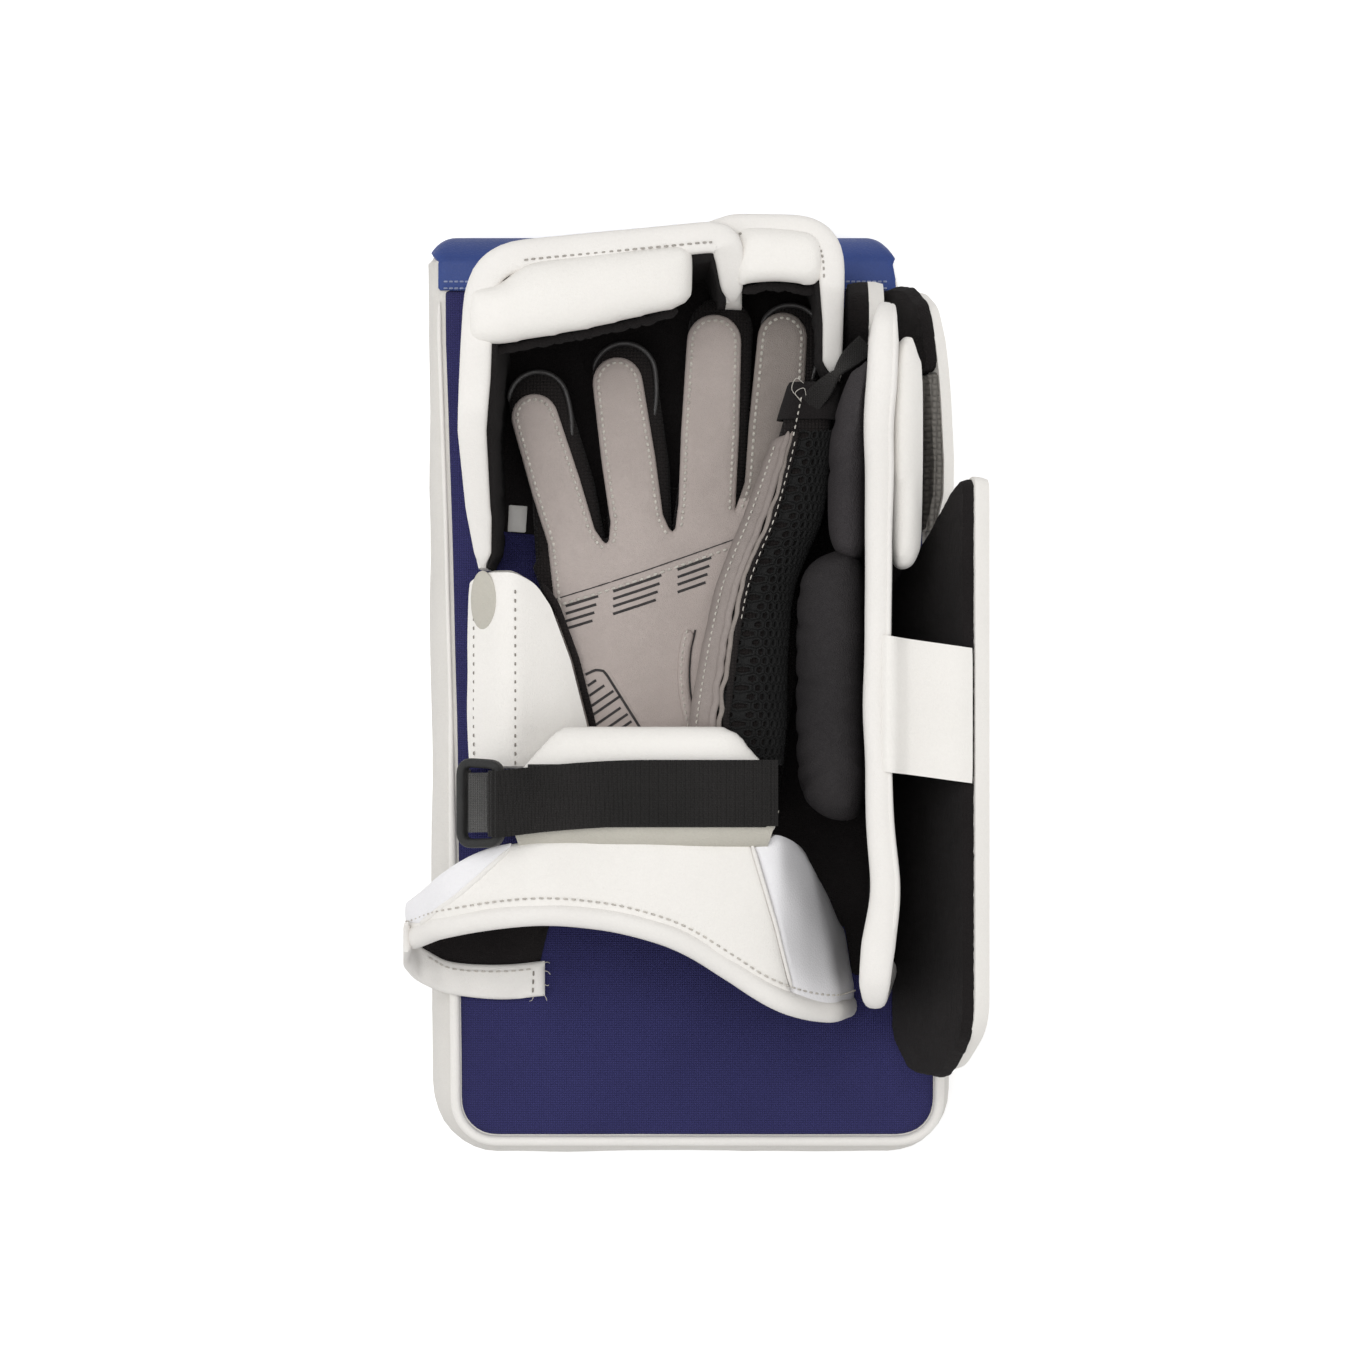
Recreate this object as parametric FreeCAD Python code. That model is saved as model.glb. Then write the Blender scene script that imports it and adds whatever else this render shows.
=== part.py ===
import FreeCAD, Part
import math
import os

from FreeCAD import Placement, Rotation, Vector

os.makedirs("parts", exist_ok=True)

# A hockey goalie's right-hand blocker: a foam board with a glove on its back, guards round the fingers and a
# thumb wing. It lies on its front face at z = 0, with +Z up to the palm, +Y to the fingertips, +X to the thumb.

# Board
board_length = 381.0
board_width = 216.0
board_thickness = 30.0
edge_taper = 7.0
board_top_radius = 18.0
board_bottom_radius = 26.0
shoulder_length = 133.0
shoulder_depth = 24.3
shoulder_radius = 60.0
skin = 2.0
stiffener_thickness = 2.0
front_foam_share = 0.5
piping_diameter = 4.0
top_panel_drop = 22.0
top_wall_drop = 9.0

# Room between pieces, and how far a cutter runs past what it cuts
fit_gap = 0.3
hinge_gap = 0.5
soft_gap = 1.5
overrun = 20.0
edge_radius = 1.0
end_radius_share = 0.25
soft_facets = 5
pipe_facets = 9

# Hand
hand_x = 5.0
wrist_y = -58.0
hand_pad_thickness = 6.0
hand_pad_margin = 3.0
hand_pad_radius = 20.0
hand_pad_reach_share = 0.3
glove_thickness = 20.0
leather = 1.6
knit = 2.0
wrist_width = 78.0
wrist_offset = -16.0
palm_side_x = 44.0
palm_side_y = 8.0
palm_radius = 8.0
patch_thickness = 1.2
patch_length = 40.0
patch_width_share = 0.5

# Fingers: width, length past the knuckle, palm length up to the knuckle, and lean towards the little finger
finger_gap = 1.5
little_width = 23.0
little_length = 72.0
little_palm = 112.0
little_lean = 17.0
ring_width = 24.6
ring_length = 78.0
ring_palm = 119.0
ring_lean = 8.0
middle_width = 25.0
middle_length = 89.0
middle_palm = 125.0
middle_lean = -2.5
index_width = 24.4
index_base_length = 54.0
index_tip_length = 33.0
index_palm = 128.0
index_lean = -4.5
tip_width_share = 0.92
tip_radius_share = 0.43
finger_bevel = 5.0
pad_margin = 1.2

# Thumb: stations along it, each with its place from the base, its middle and its width
thumb_depth = 25.0
thumb_base_y = -12.0
thumb_base_x = 19.0
thumb_base_width = 38.0
thumb_bend_rise = 52.0
thumb_bend_x = 25.5
thumb_bend_width = 30.0
thumb_web_rise = 84.0
thumb_web_x = 37.5
thumb_web_width = 31.0
thumb_tip_rise = 133.0
thumb_tip_x = 50.0
thumb_tip_width = 18.0
thumb_tip_depth_share = 0.64
thumb_corner_share = 0.4
thumb_wall = 1.8
thumb_strip_share = 0.3
thumb_tab_length = 14.0
loop_width = 10.0
loop_thickness = 1.6
loop_overlap = 4.0
loop_rise = 18.0

# Walls that stand round the fingers
guard_cover = 2.0
guard_foam = 8.0
guard_lining = 2.5
guard_slope = 5.5
guard_binding_height = 6.0
guard_binding_round = 3.0
finger_guard_height = 72.0
finger_guard_radius = 26.0
finger_guard_low_y = 51.0
finger_guard_taper_run = 62.0
finger_guard_low_share = 0.6
finger_guard_return = 11.0
index_guard_height = 66.0
index_guard_radius = 24.0
index_guard_low_y = 129.0
index_guard_taper_run = 32.0
index_guard_low_share = 0.6
index_guard_tuck = 4.0
roll_depth = 29.0
index_roll_depth = 15.0
roll_thickness = 15.0
roll_radius = 6.0
roll_draw = 4.5
roll_corner_cut = 17.0

# Heel panel beside the little finger
heel_thickness = 6.0
heel_height = 48.0
heel_length = 80.0
heel_overhang = 1.5
heel_overlap = 9.0
heel_shoulder_share = 0.3
heel_bend = 12.0
heel_corner = 14.0

# Wrist pad, strap and buckle
wrist_pad_rise = 54.0
wrist_pad_thickness = 10.0
wrist_pad_length = 46.0
wrist_pad_width = 108.0
wrist_pad_corner = 18.0
wrist_pad_shift = 8.0
strap_width = 31.0
strap_thickness = 1.8
strap_end_x = 34.0
strap_base_inset = 4.0
buckle_bar = 4.0
buckle_length = 22.0
buckle_corner = 5.0
buckle_side_gap = 0.8
buckle_tilt = 30.0
buckle_overhang = 4.0
strap_slope_run = 17.0
anchor_foot_inset = 6.5
fold_angle = 110.0

# Cuff over the wrist
cuff_thickness = 4.0
cuff_lining_thickness = 1.6
cuff_height = 62.0
cuff_right = 68.0
cuff_left = 119.0
cuff_length = 73.0
cuff_bend = 18.0
cuff_binding_width = 9.0
cuff_binding_lip = 0.8
cuff_seam_x = 32.0
return_thickness = 2.0
return_length = 38.0
return_width = 46.0
return_lip = 9.0

# Thumb wing: the plate that stands beside the thumb, with its pads, and the side panel tied to it
wing_x = 80.0
wing_height = 78.0
wing_top_y = 154.0
wing_low_y = -124.0
wing_lean = -2.5
wing_plate = 7.0
wing_lining = 2.0
wing_binding_width = 9.0
wing_binding_wall = 1.3
wing_corner = 24.0
wing_tip_radius = 10.0
wing_pad_radius = 16.0
wing_slant_share = 0.75
wing_low_share = 0.25
upper_pad_thickness = 12.0
upper_pad_length = 52.0
upper_pad_foot_share = 0.4
lower_pad_thickness = 27.0
lower_pad_length = 104.0
upper_pad_draw = 8.0
lower_pad_draw = 14.0
pad_gap = 3.0
pad_middle_y = 58.0
pad_foot_share = 0.16
pad_head_share = 0.87
outer_panel_length = 69.0
outer_panel_foot_share = 0.45
outer_panel_overlap = 10.0
outer_panel_thickness = 9.0
side_panel_base_x = 89.5
side_panel_lean = 21.5
side_panel_cover = 8.0
side_panel_lining = 2.5
side_panel_rim = 4.0
lower_panel_height = 70.0
lower_panel_top_y = 88.0
lower_panel_low_y = -156.0
lower_panel_corner = 30.0
lower_panel_slant = 44.0
upper_panel_base_x = 94.0
upper_panel_height = 50.0
upper_panel_top_y = 164.0
panel_split_gap = 4.0
upper_panel_corner = 18.0
link_width = 54.0
link_thickness = 2.0
link_low_y = -34.0
seam_strip_width = 18.0
seam_strip_thickness = 1.2
side_wall_height = 32.0
side_wall_thickness = 9.0
side_wall_length = 30.0
side_wall_x = 73.0
side_wall_top_y = 169.0
side_wall_radius = 12.0

# Heights and places worked out from the sizes above
back_z = board_thickness
glove_bottom = back_z + hand_pad_thickness
glove_top = glove_bottom + glove_thickness
pad_bottom = glove_top - leather
guard_thickness = guard_cover + guard_foam + guard_lining
piping_radius = piping_diameter / 2


def rounded_wire(points, radii, z=0):
    """Closed outline of straight runs and tangent arcs, with one radius for each corner."""
    count = len(points)
    arcs = corner_arcs(points, radii, z)
    edges = []
    for i in range(count):
        edges.append(Part.Arc(*arcs[i]).toShape())
        edges.append(Part.makeLine(arcs[i][2], arcs[(i + 1) % count][0]))
    return Part.Wire(edges)


def corner_arcs(points, radii, z):
    """Start, middle and end of the arc at each corner of an outline."""
    count = len(points)
    arcs = []
    for i in range(count):
        corner = Vector(*points[i], z)
        to_last = (Vector(*points[i - 1], z) - corner).normalize()
        to_next = (Vector(*points[(i + 1) % count], z) - corner).normalize()
        half_turn = to_last.getAngle(to_next) / 2
        bisector = (to_last + to_next).normalize()
        reach = radii[i] / math.tan(half_turn)
        middle = corner + bisector * (radii[i] / math.sin(half_turn) - radii[i])
        arcs.append((corner + to_last * reach, middle, corner + to_next * reach))
    return arcs


def faceted_ring(points, radii, z=0):
    """Corners of a rounded outline in straight runs, for soft forms."""
    corners = []
    for arc in corner_arcs(points, radii, z):
        corners += Part.Arc(*arc).toShape().discretize(soft_facets)
    return corners


def flat_face(corners):
    return Part.Face(Part.makePolygon(corners + corners[:1]))


def faceted_solid(rings):
    """Solid with flat sides between rings whose runs are parallel."""
    faces = [flat_face(rings[0]), flat_face(rings[-1])]
    for low, high in zip(rings, rings[1:]):
        for i in range(len(low)):
            j = (i + 1) % len(low)
            faces.append(flat_face([low[i], low[j], high[j], high[i]]))
    shell = Part.Shell(faces)
    shell.sewShape()
    solid = Part.Solid(shell)
    if solid.Volume < 0:
        solid.reverse()
    return solid


def inset(points, distances):
    """Anticlockwise outline with each side moved inwards by its own distance."""
    count = len(points)
    lines = []
    for i in range(count):
        x0, y0 = points[i]
        x1, y1 = points[(i + 1) % count]
        length = math.hypot(x1 - x0, y1 - y0)
        across_x = (y0 - y1) / length
        across_y = (x1 - x0) / length
        lines.append((across_x, across_y, across_x * x0 + across_y * y0 + distances[i]))
    moved = []
    for i in range(count):
        a, b, c = lines[i - 1]
        d, e, f = lines[i]
        cross = a * e - b * d
        moved.append(((c * e - b * f) / cross, (a * f - c * d) / cross))
    return moved


def prism(points, radii, bottom, top):
    """Rounded outline raised straight up."""
    face = Part.Face(rounded_wire(points, radii, bottom))
    return face.extrude(Vector(0, 0, top - bottom))


def zone(points, bottom, top):
    """Sharp-cornered outline raised straight up, for cutting."""
    corners = [Vector(x, y, bottom) for x, y in points]
    face = Part.Face(Part.makePolygon(corners + corners[:1]))
    return face.extrude(Vector(0, 0, top - bottom))


def rectangle(x0, y0, x1, y1):
    return [(x0, y0), (x1, y0), (x1, y1), (x0, y1)]


def block(x0, y0, z0, x1, y1, z1):
    return Part.makeBox(x1 - x0, y1 - y0, z1 - z0, Vector(x0, y0, z0))


def cushion(points, radius, bottom, top, draw):
    """Stuffed pad: its foot and crown are drawn in, and its sides swell between them."""
    height = top - bottom
    foot_shares = (0.0, 0.3, 0.7, 0.92, 1.0)
    draw_shares = (0.45, 0.0, 0.0, 0.4, 1.0)
    sections = []
    for foot_share, draw_share in zip(foot_shares, draw_shares):
        taken = draw * draw_share
        outline = inset(points, [taken] * len(points))
        sections.append(faceted_ring(outline, [radius - taken] * len(points), bottom + height * foot_share))
    return faceted_solid(sections)


def upright(shape, x, z, lean):
    """Stands a flat outline on edge: its first axis lies along Y, its second up, its thickness along X."""
    turned = Placement(Vector(0, 0, 0), Rotation(Vector(1, 1, 1), 120))
    shape.Placement = Placement(Vector(x, 0, z), Rotation(Vector(0, 1, 0), lean)).multiply(turned)
    return shape


def offset_run(points, distance):
    """Open run of points moved to its left by a distance."""
    lines = []
    for (x0, y0), (x1, y1) in zip(points, points[1:]):
        length = math.hypot(x1 - x0, y1 - y0)
        lines.append(((y0 - y1) / length, (x1 - x0) / length, x0, y0, x1, y1))
    moved = [(lines[0][2] + lines[0][0] * distance, lines[0][3] + lines[0][1] * distance)]
    for (a, b, _, _, x, y), (d, e, _, _, _, _) in zip(lines, lines[1:]):
        scale = distance / (1 + a * d + b * e)
        moved.append((x + (a + d) * scale, y + (b + e) * scale))
    moved.append((lines[-1][4] + lines[-1][0] * distance, lines[-1][5] + lines[-1][1] * distance))
    return moved


def bent_sheet(points, outer, inner, bend, far_y, near_y):
    """Sheet bent along a run of XZ points that turns left, between two depths inside that run."""
    depths = [outer] * len(points) + [inner] * len(points)
    outline = offset_run(points, outer) + offset_run(points, inner)[::-1]
    ends = (0, len(points) - 1, len(points), len(outline) - 1)
    end_radius = (inner - outer) * end_radius_share
    radii = [end_radius if i in ends else bend - depths[i] for i in range(len(outline))]
    sheet = prism(outline, radii, 0, far_y - near_y)
    sheet.Placement = Placement(Vector(0, far_y, 0), Rotation(Vector(1, 0, 0), 90))
    return sheet


def wedge(x0, x1, profile):
    """Straight bar along X with a YZ outline."""
    corners = [Vector(x0, y, z) for y, z in profile]
    face = Part.Face(Part.makePolygon(corners + corners[:1]))
    return face.extrude(Vector(x1 - x0, 0, 0))


def save(name, shape):
    shape.exportStep("parts/" + name + ".step")


# Board: front and back covers, a wall round the edge, and foam on both sides of a stiffener sheet
def board_outline(z, depth):
    """Outline of the board at a height, taken in by a depth: tapered sides and an upright slanted shoulder."""
    half_x = board_width / 2
    half_y = board_length / 2
    outline = [
        (-half_x, -half_y),
        (half_x, -half_y),
        (half_x, half_y - shoulder_length),
        (half_x - shoulder_depth, half_y),
        (-half_x, half_y),
    ]
    taken = edge_taper * z / board_thickness + depth
    return inset(outline, [taken, taken, depth, taken, taken])


def board_wire(z, depth):
    bottom = board_bottom_radius - depth
    top = board_top_radius - depth
    return rounded_wire(board_outline(z, depth), [bottom, bottom, shoulder_radius - depth, top, top], z)


def board_layer(z0, z1, depth):
    return Part.makeLoft([board_wire(z0, depth), board_wire(z1, depth)], True, True)


back_half_x = board_width / 2 - edge_taper
core_z0 = skin
core_z1 = back_z - skin
foam_split = core_z0 + (core_z1 - core_z0 - stiffener_thickness) * front_foam_share
seam_y = board_length / 2 - top_panel_drop
wall_y = board_length / 2 - top_wall_drop
above_seam = block(-board_width, seam_y, -overrun, board_width, board_length, back_z + overrun)
above_wall = block(-board_width, wall_y, -overrun, board_width, board_length, back_z + overrun)

save("board_front_cover", board_layer(0, core_z0, 0))
save("board_front_foam", board_layer(core_z0, foam_split, skin))
save("board_stiffener", board_layer(foam_split, foam_split + stiffener_thickness, skin))
save("board_back_foam", board_layer(foam_split + stiffener_thickness, core_z1, skin))

wall_ring = board_layer(core_z0, core_z1, 0).cut(board_layer(core_z0, core_z1, skin))
save("board_side_wall", wall_ring.cut(above_wall))

back_sheet = board_layer(core_z1, back_z, 0)
save("board_top_panel", back_sheet.common(above_seam).fuse(wall_ring.common(above_wall)).removeSplitter())

ledge = piping_diameter + fit_gap
save("board_back_panel", board_layer(core_z1, back_z, ledge).cut(above_seam))

pipe_bend = board_bottom_radius - piping_radius
pipe_z = core_z1 + piping_radius
pipe_top = seam_y - fit_gap
pipe_outline = board_outline(back_z, piping_radius)
pipe_radii = [pipe_bend, pipe_bend, shoulder_radius - piping_radius, pipe_bend, pipe_bend]
left_bend, right_bend, shoulder_bend = corner_arcs(pipe_outline, pipe_radii, pipe_z)[:3]
left_top = Vector(pipe_outline[0][0], pipe_top, pipe_z)
shoulder_run = Vector(*pipe_outline[3], pipe_z) - shoulder_bend[2]
shoulder_share = (pipe_top - fit_gap - shoulder_bend[2].y) / shoulder_run.y
right_top = shoulder_bend[2] + shoulder_run * shoulder_share
pipe_path = Part.Wire([
    Part.makeLine(left_top, left_bend[0]),
    Part.Arc(*left_bend).toShape(),
    Part.makeLine(left_bend[2], right_bend[0]),
    Part.Arc(*right_bend).toShape(),
    Part.makeLine(right_bend[2], shoulder_bend[0]),
    Part.Arc(*shoulder_bend).toShape(),
    Part.makeLine(shoulder_bend[2], right_top),
])
pipe_ring = Part.makeCircle(piping_radius, left_top, Vector(0, -1, 0)).discretize(pipe_facets)
pipe_section = Part.makePolygon(pipe_ring[:-1] + pipe_ring[:1])
save("board_piping", pipe_path.makePipeShell([pipe_section], True, False))

# Fingers, from the little finger to the index finger: knuckle places follow from the widths
ring_x = hand_x - (middle_width + ring_width) / 2 - finger_gap
little_x = ring_x - (ring_width + little_width) / 2 - finger_gap
index_x = hand_x + (middle_width + index_width) / 2 + finger_gap
index_base_y = wrist_y + index_palm
index_pivot = Vector(index_x - index_base_length * math.sin(math.radians(index_lean)),
                     index_base_y + index_base_length * math.cos(math.radians(index_lean)), 0)
fingers = (
    ("little_finger", Vector(little_x, wrist_y + little_palm, 0), little_width, little_length, little_lean),
    ("ring_finger", Vector(ring_x, wrist_y + ring_palm, 0), ring_width, ring_length, ring_lean),
    ("middle_finger", Vector(hand_x, wrist_y + middle_palm, 0), middle_width, middle_length, middle_lean),
    ("index_tip", index_pivot, index_width, index_tip_length, index_lean),
)


def finger_outline(width, length):
    half = width / 2
    tip = half * tip_width_share
    return [(-half, hinge_gap), (half, hinge_gap), (tip, length), (-tip, length)]


def finger_shell(width, length, wall, bottom, top):
    """Finger's outer or inner form: straight sides with a bevel all round its back."""
    open_end = overrun if wall else 0
    outline = inset(finger_outline(width, length), [-open_end, wall, wall, wall])
    tip_radius = width * tip_radius_share - wall
    radii = [edge_radius, edge_radius, tip_radius, tip_radius]
    foot_radii = [edge_radius, edge_radius, tip_radius - finger_bevel, tip_radius - finger_bevel]
    foot = faceted_ring(inset(outline, [0, finger_bevel, finger_bevel, finger_bevel]), foot_radii, bottom)
    shoulder = faceted_ring(outline, radii, bottom + finger_bevel)
    rim = faceted_ring(outline, radii, top)
    return faceted_solid([foot, shoulder, rim])


for name, root, width, length, lean in fingers:
    place = Placement(root, Rotation(Vector(0, 0, 1), lean))
    sleeve = finger_shell(width, length, 0, glove_bottom, pad_bottom)
    sleeve = sleeve.cut(finger_shell(width, length, knit, glove_bottom + knit, pad_bottom + knit))
    sleeve.Placement = place
    save(name + "_sleeve", sleeve)
    face = inset(finger_outline(width, length), [0, pad_margin, pad_margin, pad_margin])
    tip_radius = width * tip_radius_share - pad_margin
    pad = prism(face, [edge_radius, edge_radius, tip_radius, tip_radius], pad_bottom, glove_top)
    pad.Placement = place
    save(name + "_pad", pad)

# Palm: a black back open at the wrist and into the fingers, closed by a leather palm
def beside(root, lean, across, along):
    """Point in the plan at a distance across and along a finger from its knuckle."""
    turn = math.radians(lean)
    return (root.x + across * math.cos(turn) - along * math.sin(turn),
            root.y + across * math.sin(turn) + along * math.cos(turn))


index_root = Vector(index_x, index_base_y, 0)
wrist_middle = hand_x + wrist_offset
wrist_left = wrist_middle - wrist_width / 2
wrist_right = wrist_middle + wrist_width / 2
palm_outline = [
    (wrist_left, wrist_y),
    (wrist_right, wrist_y),
    (palm_side_x, palm_side_y),
    beside(index_root, index_lean, index_width / 2, 0),
    beside(index_root, index_lean, index_width / 2, index_base_length),
    beside(index_root, index_lean, -index_width / 2, index_base_length),
    beside(index_root, index_lean, -index_width / 2, 0),
]
for name, root, width, length, lean in reversed(fingers[:3]):
    palm_outline.append(beside(root, lean, width / 2, 0))
    palm_outline.append(beside(root, lean, -width / 2, 0))
palm_radii = [edge_radius, edge_radius, palm_radius] + [edge_radius] * (len(palm_outline) - 3)

glove_back = prism(palm_outline, palm_radii, glove_bottom, pad_bottom)
knuckle_drop = little_width / 2
cavity = [(wrist_left + knit, wrist_y - overrun), (wrist_right - knit, wrist_y - overrun),
          (palm_side_x - knit - knit, palm_side_y), beside(index_root, index_lean, index_width / 2 - knit, 0)]
for name, root, width, length, lean in reversed(fingers[:3]):
    cavity.append(beside(root, lean, 0, -knuckle_drop))
cavity.append(beside(fingers[0][1], little_lean, knit - little_width / 2, -knuckle_drop))
cavity_radii = [edge_radius] * len(cavity)
glove_back = glove_back.cut(prism(cavity, cavity_radii, glove_bottom + knit, pad_bottom + knit))
mouths = [(root, width, lean, -knuckle_drop, knit) for name, root, width, length, lean in fingers[:3]]
mouths.append((index_root, index_width, index_lean, -knuckle_drop, index_base_length + knit))
for root, width, lean, start, end in mouths:
    half = width / 2 - knit
    mouth = block(-half, start, glove_bottom + knit, half, end, pad_bottom + knit)
    mouth.Placement = Placement(root, Rotation(Vector(0, 0, 1), lean))
    glove_back = glove_back.cut(mouth)
save("glove_back", glove_back)
save("glove_palm", prism(palm_outline, palm_radii, pad_bottom, glove_top))

patch_low = wrist_y + heel_length / 2
patch_width = wrist_width * patch_width_share
patch_outline = rectangle(wrist_left + heel_overlap + pad_margin, patch_low,
                          wrist_left + heel_overlap + patch_width, patch_low + patch_length)
save("palm_patch", prism(patch_outline, [palm_radius] * 4, glove_top, glove_top + patch_thickness))

little_root = fingers[0][1]
pad_reach = index_base_y + index_base_length * hand_pad_reach_share
hand_pad = rectangle(little_root.x - little_width / 2, wrist_y + hand_pad_margin,
                     index_x + index_width / 2 - hand_pad_margin, pad_reach)
save("hand_back_pad", prism(hand_pad, [hand_pad_radius] * 4, back_z, glove_bottom))

# Thumb: a hollow tapering sheath over the palm, leather on the finger side and mesh on the other
thumb_bottom = glove_top + patch_thickness + hinge_gap
thumb_stations = (
    (0, thumb_base_x, thumb_base_width, 1),
    (thumb_bend_rise, thumb_bend_x, thumb_bend_width, 1),
    (thumb_web_rise, thumb_web_x, thumb_web_width, 1),
    (thumb_tip_rise, thumb_tip_x, thumb_tip_width, thumb_tip_depth_share),
)


def thumb_section(rise, x, width, depth_share, wall, extra):
    half_x = width / 2 - wall
    half_z = thumb_depth * depth_share / 2 - wall
    middle_z = thumb_bottom + thumb_depth / 2
    outline = rectangle(x - half_x, middle_z - half_z, x + half_x, middle_z + half_z)
    ring = faceted_ring(outline, [half_z * 2 * thumb_corner_share] * 4)
    return [Vector(corner.x, thumb_base_y + rise + extra, corner.y) for corner in ring]


outer_thumb = faceted_solid([thumb_section(*station, 0, 0) for station in thumb_stations])
inner_sections = [thumb_section(*thumb_stations[0], thumb_wall, -overrun)]
inner_sections += [thumb_section(*station, thumb_wall, 0) for station in thumb_stations[:3]]
inner_sections.append(thumb_section(*thumb_stations[3], thumb_wall, -thumb_wall))
sheath = outer_thumb.cut(faceted_solid(inner_sections))

tab_y = thumb_base_y + thumb_tip_rise - thumb_tab_length
tip_zone = block(-board_width, tab_y, 0, board_width, board_length, board_length)
save("thumb_tip_tab", sheath.common(tip_zone))
strip_edge = []
for rise, x, width, depth_share in thumb_stations:
    strip_edge.append((x - width / 2 + width * thumb_strip_share, thumb_base_y + rise))
strip_low = strip_edge[0][1] - overrun
strip_high = strip_edge[-1][1] + overrun
strip_outline = [(-board_width, strip_low), (strip_edge[0][0], strip_low)] + strip_edge[1:-1]
strip_outline += [(strip_edge[-1][0], strip_high), (-board_width, strip_high)]
strip_zone = zone(strip_outline, 0, board_length)
save("thumb_strip", sheath.cut(tip_zone).common(strip_zone))
save("thumb_mesh", sheath.cut(tip_zone).cut(strip_zone))

# Walls round the fingertips: an arch over three fingers and a second over the index finger
little_tip = beside(fingers[0][1], little_lean, 0, little_length - little_width / 2)
guard_left = little_tip[0] - little_width / 2 - soft_gap - guard_thickness
middle_tip = beside(fingers[2][1], middle_lean, 0, middle_length - middle_width / 2)
guard_right = middle_tip[0] + finger_guard_return
index_end = beside(index_pivot, index_lean, 0, index_tip_length - index_width / 2)
index_right = index_end[0] + index_width / 2 + soft_gap + guard_thickness


def swept_y(root, length, lean):
    """Furthest the tip of a finger reaches along Y while it curls about its knuckle."""
    return root.y + math.hypot(length, glove_thickness) * math.cos(math.radians(lean))


slope = math.tan(math.radians(guard_slope))
roll_near = swept_y(fingers[1][1], ring_length, ring_lean) + soft_gap
roll_x = beside(fingers[1][1], ring_lean, 0, ring_length)[0]


def guard_line(x, depth):
    """Height in Y of a line that slopes with the finger guard, a depth past the roll's near edge."""
    return roll_near + depth + (x - roll_x) * slope


guard_depth = roll_depth + guard_thickness / math.cos(math.radians(guard_slope))
finger_guard_outline = [
    (guard_left, finger_guard_low_y),
    (guard_right, finger_guard_low_y),
    (guard_right, guard_line(guard_right, guard_depth)),
    (guard_left, guard_line(guard_left, guard_depth)),
]
return_y = swept_y(fingers[2][1], middle_length, middle_lean) + soft_gap
index_near = swept_y(index_pivot, index_tip_length, index_lean) + soft_gap
index_guard_left = guard_right - index_guard_tuck
index_guard_top = index_near + index_roll_depth + guard_thickness
index_guard_outline = [
    (index_guard_left - index_guard_radius, index_guard_low_y),
    (index_right, index_guard_low_y),
    (index_right, index_guard_top),
    (index_guard_left - index_guard_radius, index_guard_top),
]


def guard_ring(outline, radius, outer, inner, bottom, top):
    """Wall open at its low end, between two depths inside an outline."""
    outside = inset(outline, [0, outer, outer, outer])
    inside = inset(outline, [-overrun, inner, inner, inner])
    outside_radii = [edge_radius, edge_radius, radius - outer, radius - outer]
    inside_radii = [edge_radius, edge_radius, radius - inner, radius - inner]
    wall = prism(outside, outside_radii, bottom, top)
    return wall.cut(prism(inside, inside_radii, bottom - overrun, top + overrun))


def guard_nodes(prefix, outline, radius, height, cutters, taper):
    """Cover, foam and lining of a standing wall, and the binding that caps them."""
    top = back_z + height
    layers = (
        ("_cover", 0, guard_cover, back_z, top - guard_binding_height),
        ("_foam", guard_cover, guard_cover + guard_foam, back_z, top - guard_binding_height),
        ("_lining", guard_cover + guard_foam, guard_thickness, back_z, top - guard_binding_height),
    )
    for suffix, outer, inner, bottom, layer_top in layers:
        wall = guard_ring(outline, radius, outer, inner, bottom, layer_top)
        for cutter in cutters:
            wall = wall.cut(cutter)
        low_y, taper_run, low_z = taper
        slant = [(low_y - overrun, low_z), (low_y, low_z), (low_y + taper_run, layer_top),
                 (low_y + taper_run, top + overrun), (low_y - overrun, top + overrun)]
        wall = wall.cut(wedge(-board_width, board_width, slant))
        save(prefix + suffix, wall)
    cap_levels = ((top - guard_binding_height, 0), (top - guard_binding_round, 0), (top, guard_binding_round))
    outside = []
    inside = []
    for z, bevel in cap_levels:
        outer = inset(outline, [0, bevel, bevel, bevel])
        outside.append(rounded_wire(outer, [edge_radius, edge_radius, radius - bevel, radius - bevel], z))
        depth = guard_thickness - bevel
        inner = inset(outline, [-overrun, depth, depth, depth])
        inside.append(rounded_wire(inner, [edge_radius, edge_radius, radius - depth, radius - depth], z))
    cap = Part.makeLoft(outside, True, True).cut(Part.makeLoft(inside, True, True))
    for cutter in cutters:
        cap = cap.cut(cutter)
    low_y, taper_run, low_z = taper
    cap = cap.cut(block(-board_width, -board_length, 0, board_width, low_y + taper_run, top + overrun))
    save(prefix + "_binding", cap)


finger_guard_top = back_z + finger_guard_height
return_cutter = block((guard_left + guard_right) / 2, -board_length, 0, board_width, return_y, board_length)
finger_guard_low_z = back_z + finger_guard_height * finger_guard_low_share
guard_nodes("finger_guard", finger_guard_outline, finger_guard_radius, finger_guard_height, [return_cutter],
            (finger_guard_low_y, finger_guard_taper_run, finger_guard_low_z))
index_cutter = block(-board_width, -board_length, 0, index_guard_left, board_length, board_length)
index_guard_low_z = back_z + index_guard_height * index_guard_low_share
guard_nodes("index_guard", index_guard_outline, index_guard_radius, index_guard_height, [index_cutter],
            (index_guard_low_y, index_guard_taper_run, index_guard_low_z))

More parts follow.
